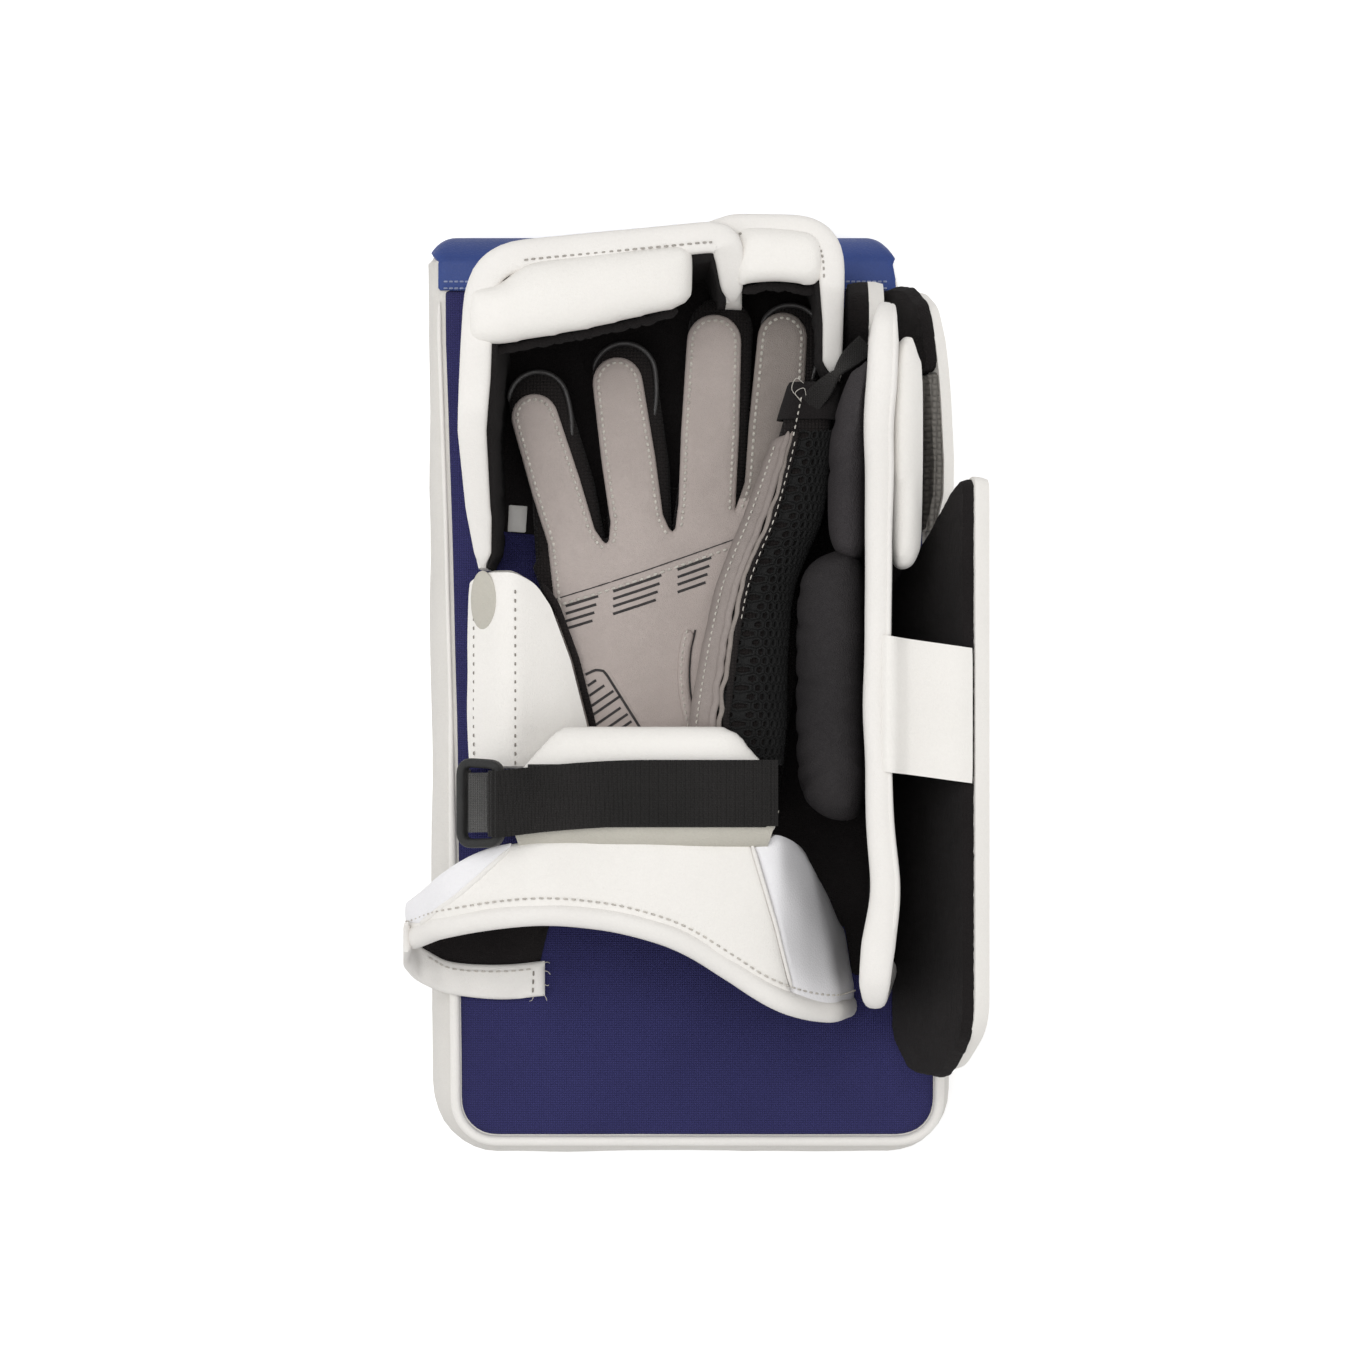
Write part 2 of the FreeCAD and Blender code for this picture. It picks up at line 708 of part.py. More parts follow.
# Rolls: padded lips inside the guards, over the fingertips
roll_left = guard_left + guard_thickness
roll_right = beside(fingers[2][1], middle_lean, -middle_width / 2, 0)[0] - soft_gap
roll_outline = [
    (roll_left, guard_line(roll_left, 0)),
    (roll_right, guard_line(roll_right, 0)),
    (roll_right, guard_line(roll_right, roll_depth)),
    (roll_left + roll_corner_cut, guard_line(roll_left + roll_corner_cut, roll_depth)),
    (roll_left, guard_line(roll_left, roll_depth - roll_corner_cut)),
]
roll_top = finger_guard_top
save("finger_guard_roll", cushion(roll_outline, roll_radius, roll_top - roll_thickness, roll_top, roll_draw))
index_roll_top = back_z + index_guard_height
index_roll_outline = rectangle(guard_right + soft_gap, index_near,
                               index_right - guard_thickness - roll_radius, index_near + index_roll_depth)
save("index_guard_roll",
     cushion(index_roll_outline, roll_radius, index_roll_top - roll_thickness, index_roll_top, roll_draw))

# Heel panel: a bent sheet that stands beside the little finger and folds over the edge of the palm
heel_left = guard_left - heel_overhang
heel_top = back_z + heel_height
heel_right = wrist_left + heel_overlap
heel_far = finger_guard_low_y - soft_gap
heel_near = heel_far - heel_length
heel_shoulder = heel_left + (heel_right - heel_left) * heel_shoulder_share
heel_rest = glove_top + patch_thickness + fit_gap
heel_run = [
    (heel_right, heel_rest + heel_thickness),
    (heel_shoulder, heel_top),
    (heel_left, heel_top - heel_corner),
    (heel_left, back_z),
]
heel_sheet = bent_sheet(heel_run, 0, heel_thickness, heel_bend, heel_far, heel_near)
heel_slant = heel_overlap + heel_overlap
heel_plan = [
    (heel_left - overrun, heel_near - overrun),
    (heel_right, heel_near),
    (heel_right - heel_slant, heel_far - heel_corner),
    (heel_shoulder, heel_far),
    (heel_left - overrun, heel_far),
]
heel_radii = [edge_radius, heel_corner, heel_corner, heel_corner, edge_radius]
heel_zone = prism(heel_plan, heel_radii, 0, board_length)
save("heel_panel", heel_sheet.common(heel_zone))

# Cuff: a sheet arched over the wrist, cut back in a curve, bound along its lower edge and lined
cuff_run_shares = (
    (1.0, 0.0), (0.86, 0.62), (0.52, 0.96), (-0.55, 1.0), (-0.84, 0.82), (-1.0, 0.4), (-0.93, 0.12),
)
cuff_run = []
for x_share, z_share in cuff_run_shares:
    side = cuff_right if x_share > 0 else cuff_left
    cuff_run.append((x_share * side, back_z + cuff_height * z_share))
cuff_far = wrist_y - soft_gap - soft_gap
cuff_near = cuff_far - cuff_length
cuff_inner = cuff_thickness + cuff_lining_thickness
low_edge_shares = (
    (1.2, 1.0), (0.76, 0.97), (0.47, 0.88), (0.0, 0.57), (-0.31, 0.42), (-0.55, 0.41), (-0.84, 0.47),
    (-1.2, 0.66),
)
high_edge_shares = ((-1.2, 0.55), (-0.63, 0.0), (1.2, 0.0))


def cuff_point(x_share, y_share, lift):
    side = cuff_right if x_share > 0 else cuff_left
    return (x_share * side, cuff_far - cuff_length * y_share + lift)


def cuff_zone(low_lift, high_lift, high_shares):
    """Plan of the cuff between its curved lower edge and another edge, each lifted along Y."""
    low = [cuff_point(x_share, y_share, low_lift) for x_share, y_share in reversed(low_edge_shares)]
    high = [cuff_point(x_share, y_share, high_lift) for x_share, y_share in reversed(high_shares)]
    return zone(low + high, back_z, board_length)


panel_zone = cuff_zone(cuff_binding_width, 0, high_edge_shares)
binding_zone = cuff_zone(0, cuff_binding_width, tuple(reversed(low_edge_shares)))
seam_zone = block(cuff_seam_x, -board_length, 0, board_width, board_length, board_length)
arch = bent_sheet(cuff_run, 0, cuff_thickness, cuff_bend, cuff_far, cuff_near - overrun).common(panel_zone)
save("cuff_front_panel", arch.cut(seam_zone))
save("cuff_side_panel", arch.common(seam_zone))
lining = bent_sheet(cuff_run, cuff_thickness, cuff_inner, cuff_bend, cuff_far, cuff_near - overrun)
save("cuff_lining", lining.common(panel_zone))
rim = bent_sheet(cuff_run, -cuff_binding_lip, cuff_inner, cuff_bend, cuff_far, cuff_near - overrun)
save("cuff_binding", rim.common(binding_zone))

# Cuff return: the strip sewn flat on the board at the cuff's left end, with its edge turned up
return_left = -back_half_x + ledge + edge_radius
return_right = return_left + return_width
return_near = cuff_far - cuff_length * low_edge_shares[-2][1] - return_length
return_z = back_z + return_thickness
return_run = [
    (return_left - return_lip, return_z + 2 * return_lip),
    (return_left, return_z),
    (return_right, return_z),
]
return_far = return_near + return_length
save("cuff_return", bent_sheet(return_run, -return_thickness, 0, return_lip, return_far, return_near))

# Wrist pad, with the strap across it and the buckle at its left end
pad_z = back_z + wrist_pad_rise
pad_top = pad_z + wrist_pad_thickness
pad_left = wrist_middle - wrist_pad_width / 2 - wrist_pad_shift
pad_right = pad_left + wrist_pad_width
pad_near = cuff_far
pad_far = pad_near + wrist_pad_length
wrist_outline = [
    (pad_left, pad_near),
    (pad_right, pad_near),
    (pad_right, pad_far - wrist_pad_corner),
    (pad_right - wrist_pad_corner, pad_far),
    (pad_left + wrist_pad_corner, pad_far),
    (pad_left, pad_far - wrist_pad_corner),
]
save("wrist_pad", cushion(wrist_outline, roll_radius, pad_z, pad_top, wrist_pad_thickness / 2))

strap_middle = (pad_near + pad_far - wrist_pad_thickness) / 2
strap_near = strap_middle - strap_width / 2
strap_far = strap_middle + strap_width / 2
fold_inner = buckle_bar * math.sqrt(0.5) + fit_gap
fold_outer = fold_inner + strap_thickness
bar_x = pad_left - buckle_overhang
bar_z = pad_top + strap_thickness + fit_gap + fold_inner
save("strap_base", block(bar_x + fold_outer + fit_gap, strap_near, pad_top,
                         strap_end_x - strap_base_inset, strap_far, pad_top + strap_thickness))


def fold_ring(x, z, start, sweep):
    """Part of a tube of webbing round a bar that lies along Y."""
    ring = Part.makeCylinder(fold_outer, strap_width, Vector(0, 0, 0), Vector(0, 0, 1), sweep)
    ring = ring.cut(Part.makeCylinder(fold_inner, strap_width))
    on_edge = Placement(Vector(x, strap_far, z), Rotation(Vector(1, 0, 0), 90))
    ring.Placement = on_edge.multiply(Placement(Vector(0, 0, 0), Rotation(Vector(0, 0, 1), start)))
    return ring


half_length = buckle_length / 2
tab_low = pad_top + strap_thickness + fit_gap
tab_high = bar_z + fold_inner
tab_run = [
    (bar_x, tab_high),
    (bar_x + fold_outer, tab_high),
    (bar_x + strap_slope_run, tab_low),
    (strap_end_x, tab_low),
]
tab_outline = tab_run + offset_run(tab_run, strap_thickness)[::-1]
tab = zone(tab_outline, 0, strap_width)
tab.Placement = Placement(Vector(0, strap_far, 0), Rotation(Vector(1, 0, 0), 90))
save("strap_tab", tab.fuse(fold_ring(bar_x, bar_z, 90, fold_angle)).removeSplitter())

half_bar = buckle_bar / 2
half_bars = half_length - half_bar
tilt = math.radians(buckle_tilt)
buckle_x = bar_x - half_bars * math.cos(tilt)
buckle_z = bar_z - half_bars * math.sin(tilt)
half_window = strap_width / 2 + buckle_side_gap
frame = rectangle(-half_length, -half_window - buckle_bar, half_length, half_window + buckle_bar)
window = inset(frame, [buckle_bar] * 4)
straight = half_bar - edge_radius
buckle_levels = ((-half_bar, edge_radius), (-straight, 0), (straight, 0), (half_bar, edge_radius))
outside = []
inside = []
for z, bevel in buckle_levels:
    outside.append(faceted_ring(inset(frame, [bevel] * 4), [buckle_corner - bevel] * 4, z))
    inside.append(faceted_ring(inset(window, [-bevel] * 4), [edge_radius + bevel] * 4, z))
buckle = faceted_solid(outside).cut(faceted_solid(inside))
buckle_place = Vector(buckle_x, strap_middle, buckle_z)
buckle.Placement = Placement(buckle_place, Rotation(Vector(0, 1, 0), -buckle_tilt))
save("strap_buckle", buckle)

anchor_x = bar_x - 2 * half_bars * math.cos(tilt)
anchor_z = bar_z - 2 * half_bars * math.sin(tilt)
anchor_foot = -back_half_x + anchor_foot_inset
anchor_run = [(anchor_x - fold_outer, anchor_z), (anchor_foot, back_z)]
anchor_outline = anchor_run + offset_run(anchor_run, strap_thickness)[::-1]
anchor = zone(anchor_outline, 0, strap_width)
anchor.Placement = Placement(Vector(0, strap_far, 0), Rotation(Vector(1, 0, 0), 90))
save("buckle_anchor", anchor.fuse(fold_ring(anchor_x, anchor_z, 0, 360)).removeSplitter())

# Thumb wing: a bound and padded plate beside the thumb, and the side panel that a strap ties to it
wing_z = back_z + seam_strip_thickness + hinge_gap
wing_slant = wing_height * wing_slant_share
wing_outline = [
    (wing_low_y + wing_corner / 2, 0),
    (wing_top_y - wing_slant, 0),
    (wing_top_y, wing_slant),
    (wing_top_y, wing_height),
    (wing_low_y, wing_height),
    (wing_low_y, wing_height * wing_low_share),
]
wing_radii = [edge_radius, edge_radius, wing_tip_radius, wing_tip_radius, wing_corner, wing_tip_radius]
half_plate = wing_plate / 2
wrapped = inset(wing_outline, [0] + [wing_binding_wall] * 5)
wrapped_radii = wing_radii[:2] + [radius - wing_binding_wall for radius in wing_radii[2:]]
plate = prism(wrapped, wrapped_radii, -half_plate, half_plate)
lining = prism(wrapped, wrapped_radii, -half_plate - wing_lining, -half_plate)
binding_in = -half_plate - wing_lining - wing_binding_wall
binding_out = half_plate + wing_binding_wall
frame_zone = prism(wing_outline, wing_radii, binding_in, binding_out)
window = inset(wing_outline, [-overrun] + [wing_binding_width] * 5)
window_radii = [max(radius - wing_binding_width, edge_radius) for radius in wing_radii]
binding = frame_zone.cut(prism(window, window_radii, -overrun, overrun))
core = inset(wing_outline, [-overrun] + [wing_binding_wall] * 5)
binding = binding.cut(prism(core, wrapped_radii, -half_plate - wing_lining, half_plate))
save("thumb_guard_plate", upright(plate, wing_x, wing_z, wing_lean))
save("thumb_guard_lining", upright(lining, wing_x, wing_z, wing_lean))
save("thumb_guard_binding", upright(binding, wing_x, wing_z, wing_lean))

pad_foot = wing_height * pad_foot_share
pad_head = wing_height * pad_head_share
pad_face = half_plate + wing_lining
upper_foot = wing_height * upper_pad_foot_share
upper_face = rectangle(pad_middle_y + pad_gap, upper_foot, pad_middle_y + upper_pad_length, pad_head)
lower_face = rectangle(pad_middle_y - lower_pad_length, pad_foot, pad_middle_y, pad_head)
outer_low = pad_middle_y - outer_panel_overlap
outer_foot = wing_height * outer_panel_foot_share
outer_face = rectangle(outer_low, outer_foot, outer_low + outer_panel_length, pad_head)


wing_pads = (
    ("thumb_guard_upper_pad", upper_face, -pad_face, -upper_pad_thickness, upper_pad_draw),
    ("thumb_guard_lower_pad", lower_face, -pad_face, -lower_pad_thickness, lower_pad_draw),
    ("thumb_guard_outer_panel", outer_face, half_plate, outer_panel_thickness, upper_pad_draw),
)
for name, face, seat, thickness, draw in wing_pads:
    pad = cushion(face, wing_pad_radius, seat, seat + thickness, draw)
    save(name, upright(pad, wing_x, wing_z, wing_lean))


def side_panel(prefix, outline, radii, x, z, turn):
    """Leaning flap, turned about its lower foot: a cover that wraps its own edge, with a lining let into it."""
    half = side_panel_cover / 2
    cover = prism(outline, radii, -half - side_panel_lining, half)
    hollow = inset(outline, [-overrun] + [side_panel_rim] * (len(outline) - 1))
    hollow_radii = [max(radius - side_panel_rim, edge_radius) for radius in radii]
    recess = prism(hollow, hollow_radii, -half - side_panel_lining, -half)
    lining = recess.common(cover)
    cover = cover.cut(recess)
    for ending, flap in (("_cover", cover), ("_lining", lining)):
        upright(flap, x, z, side_panel_lean).rotate(Vector(x, outline[0][0], z), Vector(0, 0, 1), turn)
        save(prefix + ending, flap)


panel_foot = side_panel_cover / 2
lower_outline = [
    (lower_panel_low_y + lower_panel_corner / 2, panel_foot),
    (lower_panel_top_y - lower_panel_slant, panel_foot),
    (lower_panel_top_y, lower_panel_height),
    (lower_panel_low_y + lower_panel_corner / 2, lower_panel_height),
    (lower_panel_low_y, lower_panel_height - lower_panel_corner),
    (lower_panel_low_y, lower_panel_corner / 2 + panel_foot),
]
lower_radii = [edge_radius, edge_radius, wing_tip_radius, wing_corner, wing_corner, wing_corner / 2]
side_panel("lower_side_panel", lower_outline, lower_radii, side_panel_base_x, wing_z, 0)
upper_low_y = lower_panel_top_y + panel_split_gap
upper_outline = [
    (upper_low_y, panel_foot),
    (upper_panel_top_y - upper_panel_corner / 2, panel_foot),
    (upper_panel_top_y, upper_panel_height / 2),
    (upper_panel_top_y - upper_panel_corner / 2, upper_panel_height),
    (upper_low_y, upper_panel_height),
]
upper_radii = [edge_radius, edge_radius, upper_panel_corner, upper_panel_corner / 2, upper_panel_corner]
lean = math.radians(side_panel_lean)
foot_drop = side_panel_cover / 2 * math.sin(lean) - panel_foot * math.cos(lean)
upper_panel_z = core_z1 + piping_diameter + hinge_gap + foot_drop
shoulder_turn = math.degrees(math.atan2(shoulder_depth, shoulder_length))
side_panel("upper_side_panel", upper_outline, upper_radii, upper_panel_base_x, upper_panel_z, shoulder_turn)

panel_back = side_panel_cover / 2 + side_panel_lining
panel_top_z = wing_z + lower_panel_height * math.cos(lean) + panel_back * math.sin(lean)
panel_top_x = side_panel_base_x + lower_panel_height * math.sin(lean) + side_panel_cover / 2 * math.cos(lean)
wing_slope = math.tan(math.radians(wing_lean))
link_start = wing_x + binding_out + (panel_top_z - wing_z) * wing_slope
link_high_y = link_low_y + link_width
save("link_strap",
     block(link_start, link_low_y, panel_top_z, panel_top_x, link_high_y, panel_top_z + link_thickness))

seam_left = wing_x - half_plate - wing_lining
save("wing_seam_strip", block(seam_left, wing_low_y + wing_corner, back_z, seam_left + seam_strip_width,
                              lower_panel_top_y - lower_panel_corner, back_z + seam_strip_thickness))
side_wall = rectangle(side_wall_top_y - side_wall_length, 0, side_wall_top_y, side_wall_height)
wall_radii = [edge_radius, edge_radius, side_wall_radius, side_wall_radius]
half_wall = side_wall_thickness / 2
save("thumb_side_wall", upright(prism(side_wall, wall_radii, -half_wall, half_wall), side_wall_x, back_z, 0))

# Elastic loop from the thumb's tip to the wing
tip_y = thumb_base_y + thumb_tip_rise
loop_z = thumb_bottom + thumb_depth * (1 + thumb_tip_depth_share) / 2 + fit_gap + fit_gap
loop_end = wing_x + binding_in + (loop_z - wing_z) * wing_slope
loop_run = [(thumb_tip_x, tip_y - loop_overlap), (loop_end - loop_width / 2, tip_y + loop_rise)]
loop_outline = offset_run(loop_run, -loop_width / 2) + offset_run(loop_run, loop_width / 2)[::-1]
save("thumb_loop", zone(loop_outline, loop_z, loop_z + loop_thickness))
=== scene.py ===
import math
from collections import namedtuple

import bmesh
import bpy
import numpy as np
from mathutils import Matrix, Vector, noise
from mathutils.geometry import delaunay_2d_cdt


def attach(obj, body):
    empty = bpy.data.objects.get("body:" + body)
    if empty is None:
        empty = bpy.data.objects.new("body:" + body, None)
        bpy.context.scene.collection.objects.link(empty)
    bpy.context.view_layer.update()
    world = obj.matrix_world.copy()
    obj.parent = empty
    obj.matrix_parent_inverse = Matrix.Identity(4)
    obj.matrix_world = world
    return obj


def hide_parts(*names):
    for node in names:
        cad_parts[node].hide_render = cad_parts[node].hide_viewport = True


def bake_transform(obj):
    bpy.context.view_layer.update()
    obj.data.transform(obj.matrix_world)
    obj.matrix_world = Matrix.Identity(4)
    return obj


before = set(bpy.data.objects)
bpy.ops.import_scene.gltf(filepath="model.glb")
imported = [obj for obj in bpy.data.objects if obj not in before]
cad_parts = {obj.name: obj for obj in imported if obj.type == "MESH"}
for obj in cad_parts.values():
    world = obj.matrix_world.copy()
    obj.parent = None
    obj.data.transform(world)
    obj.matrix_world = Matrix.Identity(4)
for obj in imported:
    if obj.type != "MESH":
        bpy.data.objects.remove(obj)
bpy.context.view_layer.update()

# Board core
# Two sheets of foam with a stiff plastic sheet between them, glued together inside the cover.
# Only the edges could ever show, so they keep their own shapes and take plain finishes.
MM = 0.001
SPECKLE_SHARE = 0.25


def node(tree, kind, **values):
    """New shader node with its settings and inputs filled in; a key such as _1 is an input's number."""
    made = tree.nodes.new(kind)
    for key, value in values.items():
        if hasattr(made, key):
            setattr(made, key, value)
            continue
        socket = made.inputs[int(key[1:])] if key[0] == "_" else made.inputs[key.replace("_", " ")]
        if isinstance(value, bpy.types.NodeSocket):
            tree.links.new(value, socket)
        else:
            socket.default_value = value
    return made


def sums(tree, operation, first, second=0.0, third=0.5):
    return node(tree, "ShaderNodeMath", operation=operation, _0=first, _1=second, _2=third).outputs[0]


def mixed(tree, share, first, second):
    return node(tree, "ShaderNodeMix", data_type="RGBA", _0=share, _6=first, _7=second).outputs[2]


def ranged(tree, value, **limits):
    return node(tree, "ShaderNodeMapRange", Value=value, **limits).outputs[0]


def object_place(tree):
    return node(tree, "ShaderNodeTexCoord").outputs["Object"]


def drift(tree, scale, detail, output="Fac", **more):
    """Noise over the object's own coordinates."""
    made = node(tree, "ShaderNodeTexNoise", Vector=object_place(tree), Scale=scale, Detail=detail, **more)
    return made.outputs[output]


def new_group(name, inputs, outputs):
    """Empty node group with its named sockets, and its inner ends."""
    tree = bpy.data.node_groups.new(name, "ShaderNodeTree")
    for label, kind, value in inputs:
        tree.interface.new_socket(label, in_out="INPUT", socket_type=kind).default_value = value
    for label, kind in outputs:
        tree.interface.new_socket(label, in_out="OUTPUT", socket_type=kind)
    return tree, tree.nodes.new("NodeGroupInput").outputs, tree.nodes.new("NodeGroupOutput").inputs


def make_tone_drift():
    """Two tones that drift into each other, with a fine speckle, as dyed or handled goods show."""
    tree, given, out = new_group(
        "tone_drift",
        [("Pale", "NodeSocketColor", (1, 1, 1, 1)), ("Deep", "NodeSocketColor", (0, 0, 0, 1)),
         ("Scale", "NodeSocketFloat", 20.0)],
        [("Colour", "NodeSocketColor")])
    broad = sums(tree, "MULTIPLY", drift(tree, given["Scale"], 4.0), 1 - SPECKLE_SHARE)
    fine = sums(tree, "MULTIPLY", drift(tree, 900.0, 2.0), SPECKLE_SHARE)
    share = ranged(tree, sums(tree, "ADD", broad, fine), From_Min=0.36, From_Max=0.64)
    tree.links.new(mixed(tree, share, given["Pale"], given["Deep"]), out["Colour"])
    return tree


tone_drift = make_tone_drift()


def use_group(tree, group, **values):
    return node(tree, "ShaderNodeGroup", node_tree=group, **values).outputs


def new_finish(name, pale, deep, scale, rough, slot=None, **settings):
    """Material with drifting tones and one roughness; its slot is its own name or another."""
    made = bpy.data.materials.new("finish_" + name)
    made.use_nodes = True
    made["slot"] = slot or name
    tree = made.node_tree
    shader = tree.nodes["Principled BSDF"]
    colour = use_group(tree, tone_drift, Pale=(*pale, 1), Deep=(*deep, 1), Scale=scale)["Colour"]
    tree.links.new(colour, shader.inputs["Base Color"])
    shader.inputs["Roughness"].default_value = rough
    for key, value in settings.items():
        shader.inputs[key.replace("_", " ")].default_value = value
    return made, tree, shader


def raise_bump(tree, shader, height, distance, strength=1.0):
    bump = node(tree, "ShaderNodeBump", Height=height, Distance=distance, Strength=strength)
    tree.links.new(bump.outputs["Normal"], shader.inputs["Normal"])


def make_cells(slot, pale, deep, size):
    """Foam or moulded sheet: drifting tone over fine open cells."""
    made, tree, shader = new_finish(slot, pale, deep, 30.0, 0.85)
    cells = node(tree, "ShaderNodeTexVoronoi", Vector=object_place(tree), Scale=size).outputs["Distance"]
    raise_bump(tree, shader, cells, 0.0006)
    return made


foam = make_cells("foam", (0.62, 0.61, 0.58), (0.5, 0.49, 0.46), 700.0)
stiffener = make_cells("stiffener", (0.05, 0.05, 0.055), (0.03, 0.03, 0.033), 250.0)
for core, finish in (("board_front_foam", foam), ("board_stiffener", stiffener), ("board_back_foam", foam)):
    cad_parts[core].data.materials.clear()
    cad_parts[core].data.materials.append(finish)

# Board cover
# White coated leather sewn into a tray: a flat front face and a padded wall that tapers to the back.
# A welt seam runs round the front edge, and the foam makes the wall swell and wander a little.
BOARD_HALF_X = 108.0
BOARD_HALF_Y = 190.5
BOARD_TAPER = 7.0 / 30.0
LOW_CORNER = 26.0
TOP_CORNER = 10.0
BACK_Z = 30.0
SHOULDER_LENGTH = 133.0
SHOULDER_DEPTH = 24.3
SHOULDER_ROUND = 60.0
SIDE_STEPS = 22
LEAST_CORNER = 2.0
SPREAD_FROM_Z = 12.0
SPREAD_LEFT = ((-155, -8, 76, 150), (0.0, 2.0, 4.2, 6.8))
SPREAD_RIGHT = ((20, 55), (4.6, 0.0))
SPREAD_BELOW = 6.0
SPREAD_SIDE = (35.0, 55.0)
SPREAD_LOW = (30.0, 140.0)
SHOULDER_SWELL = 0.2
SHOULDER_SINK = 0.5
RIGHT_HELD_IN = 0.35
WAVE_FULL_Z = 10.0
CREASE_DULLER = 0.14
CRISP_ANGLE = 55.0


def make_grain():
    """Pebbled leather grain: rounded cells with creases between them, over a slower swell."""
    tree, given, out = new_group(
        "leather_grain", [("Scale", "NodeSocketFloat", 600.0), ("Crease", "NodeSocketFloat", 0.5)],
        [("Height", "NodeSocketFloat"), ("Tone", "NodeSocketFloat")])
    warp = drift(tree, 120.0, 2.0, "Color")
    bent = node(tree, "ShaderNodeVectorMath", operation="MULTIPLY_ADD", _0=warp, _1=(0.004, 0.004, 0.004),
                _2=object_place(tree)).outputs[0]
    edge = node(tree, "ShaderNodeTexVoronoi", feature="DISTANCE_TO_EDGE", Vector=bent, Scale=given["Scale"])
    cell = ranged(tree, edge.outputs["Distance"], From_Max=0.35)
    crease = sums(tree, "SUBTRACT", drift(tree, 26.0, 5.0, Roughness=0.6), 0.5)
    folds = sums(tree, "MULTIPLY", sums(tree, "ABSOLUTE", crease), given["Crease"])
    swell = sums(tree, "ADD", drift(tree, 90.0, 3.0), folds)
    tree.links.new(sums(tree, "ADD", sums(tree, "MULTIPLY", cell, 0.35), swell), out["Height"])
    tree.links.new(cell, out["Tone"])
    return tree


leather_grain = make_grain()


def make_leather(name, pale, deep, rough, scale, crease, depth, shine=0.5, slot=None):
    """Coated leather: drifting tone, pebbled bump, and creases that are a little duller than the tops."""
    made, tree, shader = new_finish(name, pale, deep, 14.0, rough, slot, Specular_IOR_Level=shine)
    grain = use_group(tree, leather_grain, Scale=scale, Crease=crease)
    raise_bump(tree, shader, grain["Height"], depth, 0.8)
    dull = ranged(tree, grain["Tone"], To_Min=min(1.0, rough + CREASE_DULLER), To_Max=rough)
    tree.links.new(dull, shader.inputs["Roughness"])
    return made


white_leather = make_leather("white_leather", (0.86, 0.835, 0.795), (0.81, 0.785, 0.745), 0.5, 900.0, 0.6,
                             0.00022)


def piece(name, points, faces, finish, carrier, nodes=()):
    """New piece from points in mm. It rides on a body named by its carrier, in place of CAD nodes; any other
    carrier is not followed.
    """
    mesh = bpy.data.meshes.new(name)
    mesh.from_pydata((np.asarray(points, float) * MM).tolist(), [], [tuple(map(int, f)) for f in faces])
    work = bmesh.new()
    work.from_mesh(mesh)
    bmesh.ops.recalc_face_normals(work, faces=work.faces)
    work.to_mesh(mesh)
    work.free()
    mesh.polygons.foreach_set("use_smooth", [True] * len(mesh.polygons))
    mesh.set_sharp_from_angle(angle=math.radians(CRISP_ANGLE))
    mesh.materials.append(finish)
    made = bpy.data.objects.new(name, mesh)
    bpy.context.scene.collection.objects.link(made)
    if isinstance(carrier, str):
        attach(made, carrier)
    elif carrier:
        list(carrier)
        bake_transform(made)
    if nodes:
        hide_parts(*nodes)
    return made


def rows_of_faces(rows, columns, ring=True):
    """Faces between rows of points; a ring joins the last column to the first."""
    faces = []
    for row in range(rows - 1):
        for column in range(columns if ring else columns - 1):
            right = (column + 1) % columns
            faces.append((row * columns + column, row * columns + right,
                          (row + 1) * columns + right, (row + 1) * columns + column))
    return faces


def tube_faces(rows, columns, first=True, last=True):
    """Faces of a tube, with its ends closed unless told otherwise."""
    faces = rows_of_faces(rows, columns)
    if first:
        faces.append(tuple(range(columns)))
    if last:
        faces.append(tuple(range(columns * (rows - 1), columns * rows)))
    return faces


def wander(points, size, depth):
    """Slow random swell at each point in space or in a plan, the same on every run."""
    points = np.asarray(points, float)
    if points.shape[1] == 2:
        points = np.column_stack([points, np.zeros(len(points))])
    return np.array([noise.noise(Vector(p) / size) for p in points]) * depth


def unit(rows):
    return rows / np.linalg.norm(rows, axis=1)[:, None]


def ramp(value, run, start=0.0):
    """Share from 0 to 1 over a run that begins at a start."""
    return np.clip((value - start) / run, 0, 1)


def board_plan(grow, shoulder=None, corner_steps=9):
    """Plan of the board grown by a distance: rounder lower corners, and a slanted shoulder by the thumb."""
    if shoulder is None:
        shoulder = grow + BOARD_TAPER * BACK_Z
    corners = np.array([(BOARD_HALF_X, -BOARD_HALF_Y), (BOARD_HALF_X, BOARD_HALF_Y - SHOULDER_LENGTH),
                        (BOARD_HALF_X - SHOULDER_DEPTH, BOARD_HALF_Y), (-BOARD_HALF_X, BOARD_HALF_Y),
                        (-BOARD_HALF_X, -BOARD_HALF_Y)])
    ahead = unit(np.roll(corners, -1, 0) - corners)
    out = np.column_stack([ahead[:, 1], -ahead[:, 0]])
    reach = (out * corners).sum(1) + np.array([grow, shoulder, grow, grow, grow])
    run = []
    for i, radius in enumerate((LOW_CORNER, SHOULDER_ROUND, TOP_CORNER, TOP_CORNER, LOW_CORNER)):
        corner = np.linalg.solve([out[i - 1], out[i]], [reach[i - 1], reach[i]])
        round_by = max(LEAST_CORNER, radius + grow)
        middle = corner - (out[i - 1] + out[i]) * round_by / (1 + out[i - 1] @ out[i])
        first = math.atan2(out[i - 1][1], out[i - 1][0])
        sweep = (math.atan2(out[i][1], out[i][0]) - first) % (2 * math.pi)
        for angle in np.linspace(first, first + sweep, corner_steps):
            run.append(middle + round_by * np.array((math.cos(angle), math.sin(angle))))
    filled = []
    for i, spot in enumerate(run):
        steps = SIDE_STEPS if i % corner_steps == corner_steps - 1 else 1
        filled += [spot + (run[(i + 1) % len(run)] - spot) * step / steps for step in range(steps)]
    return np.array(filled)


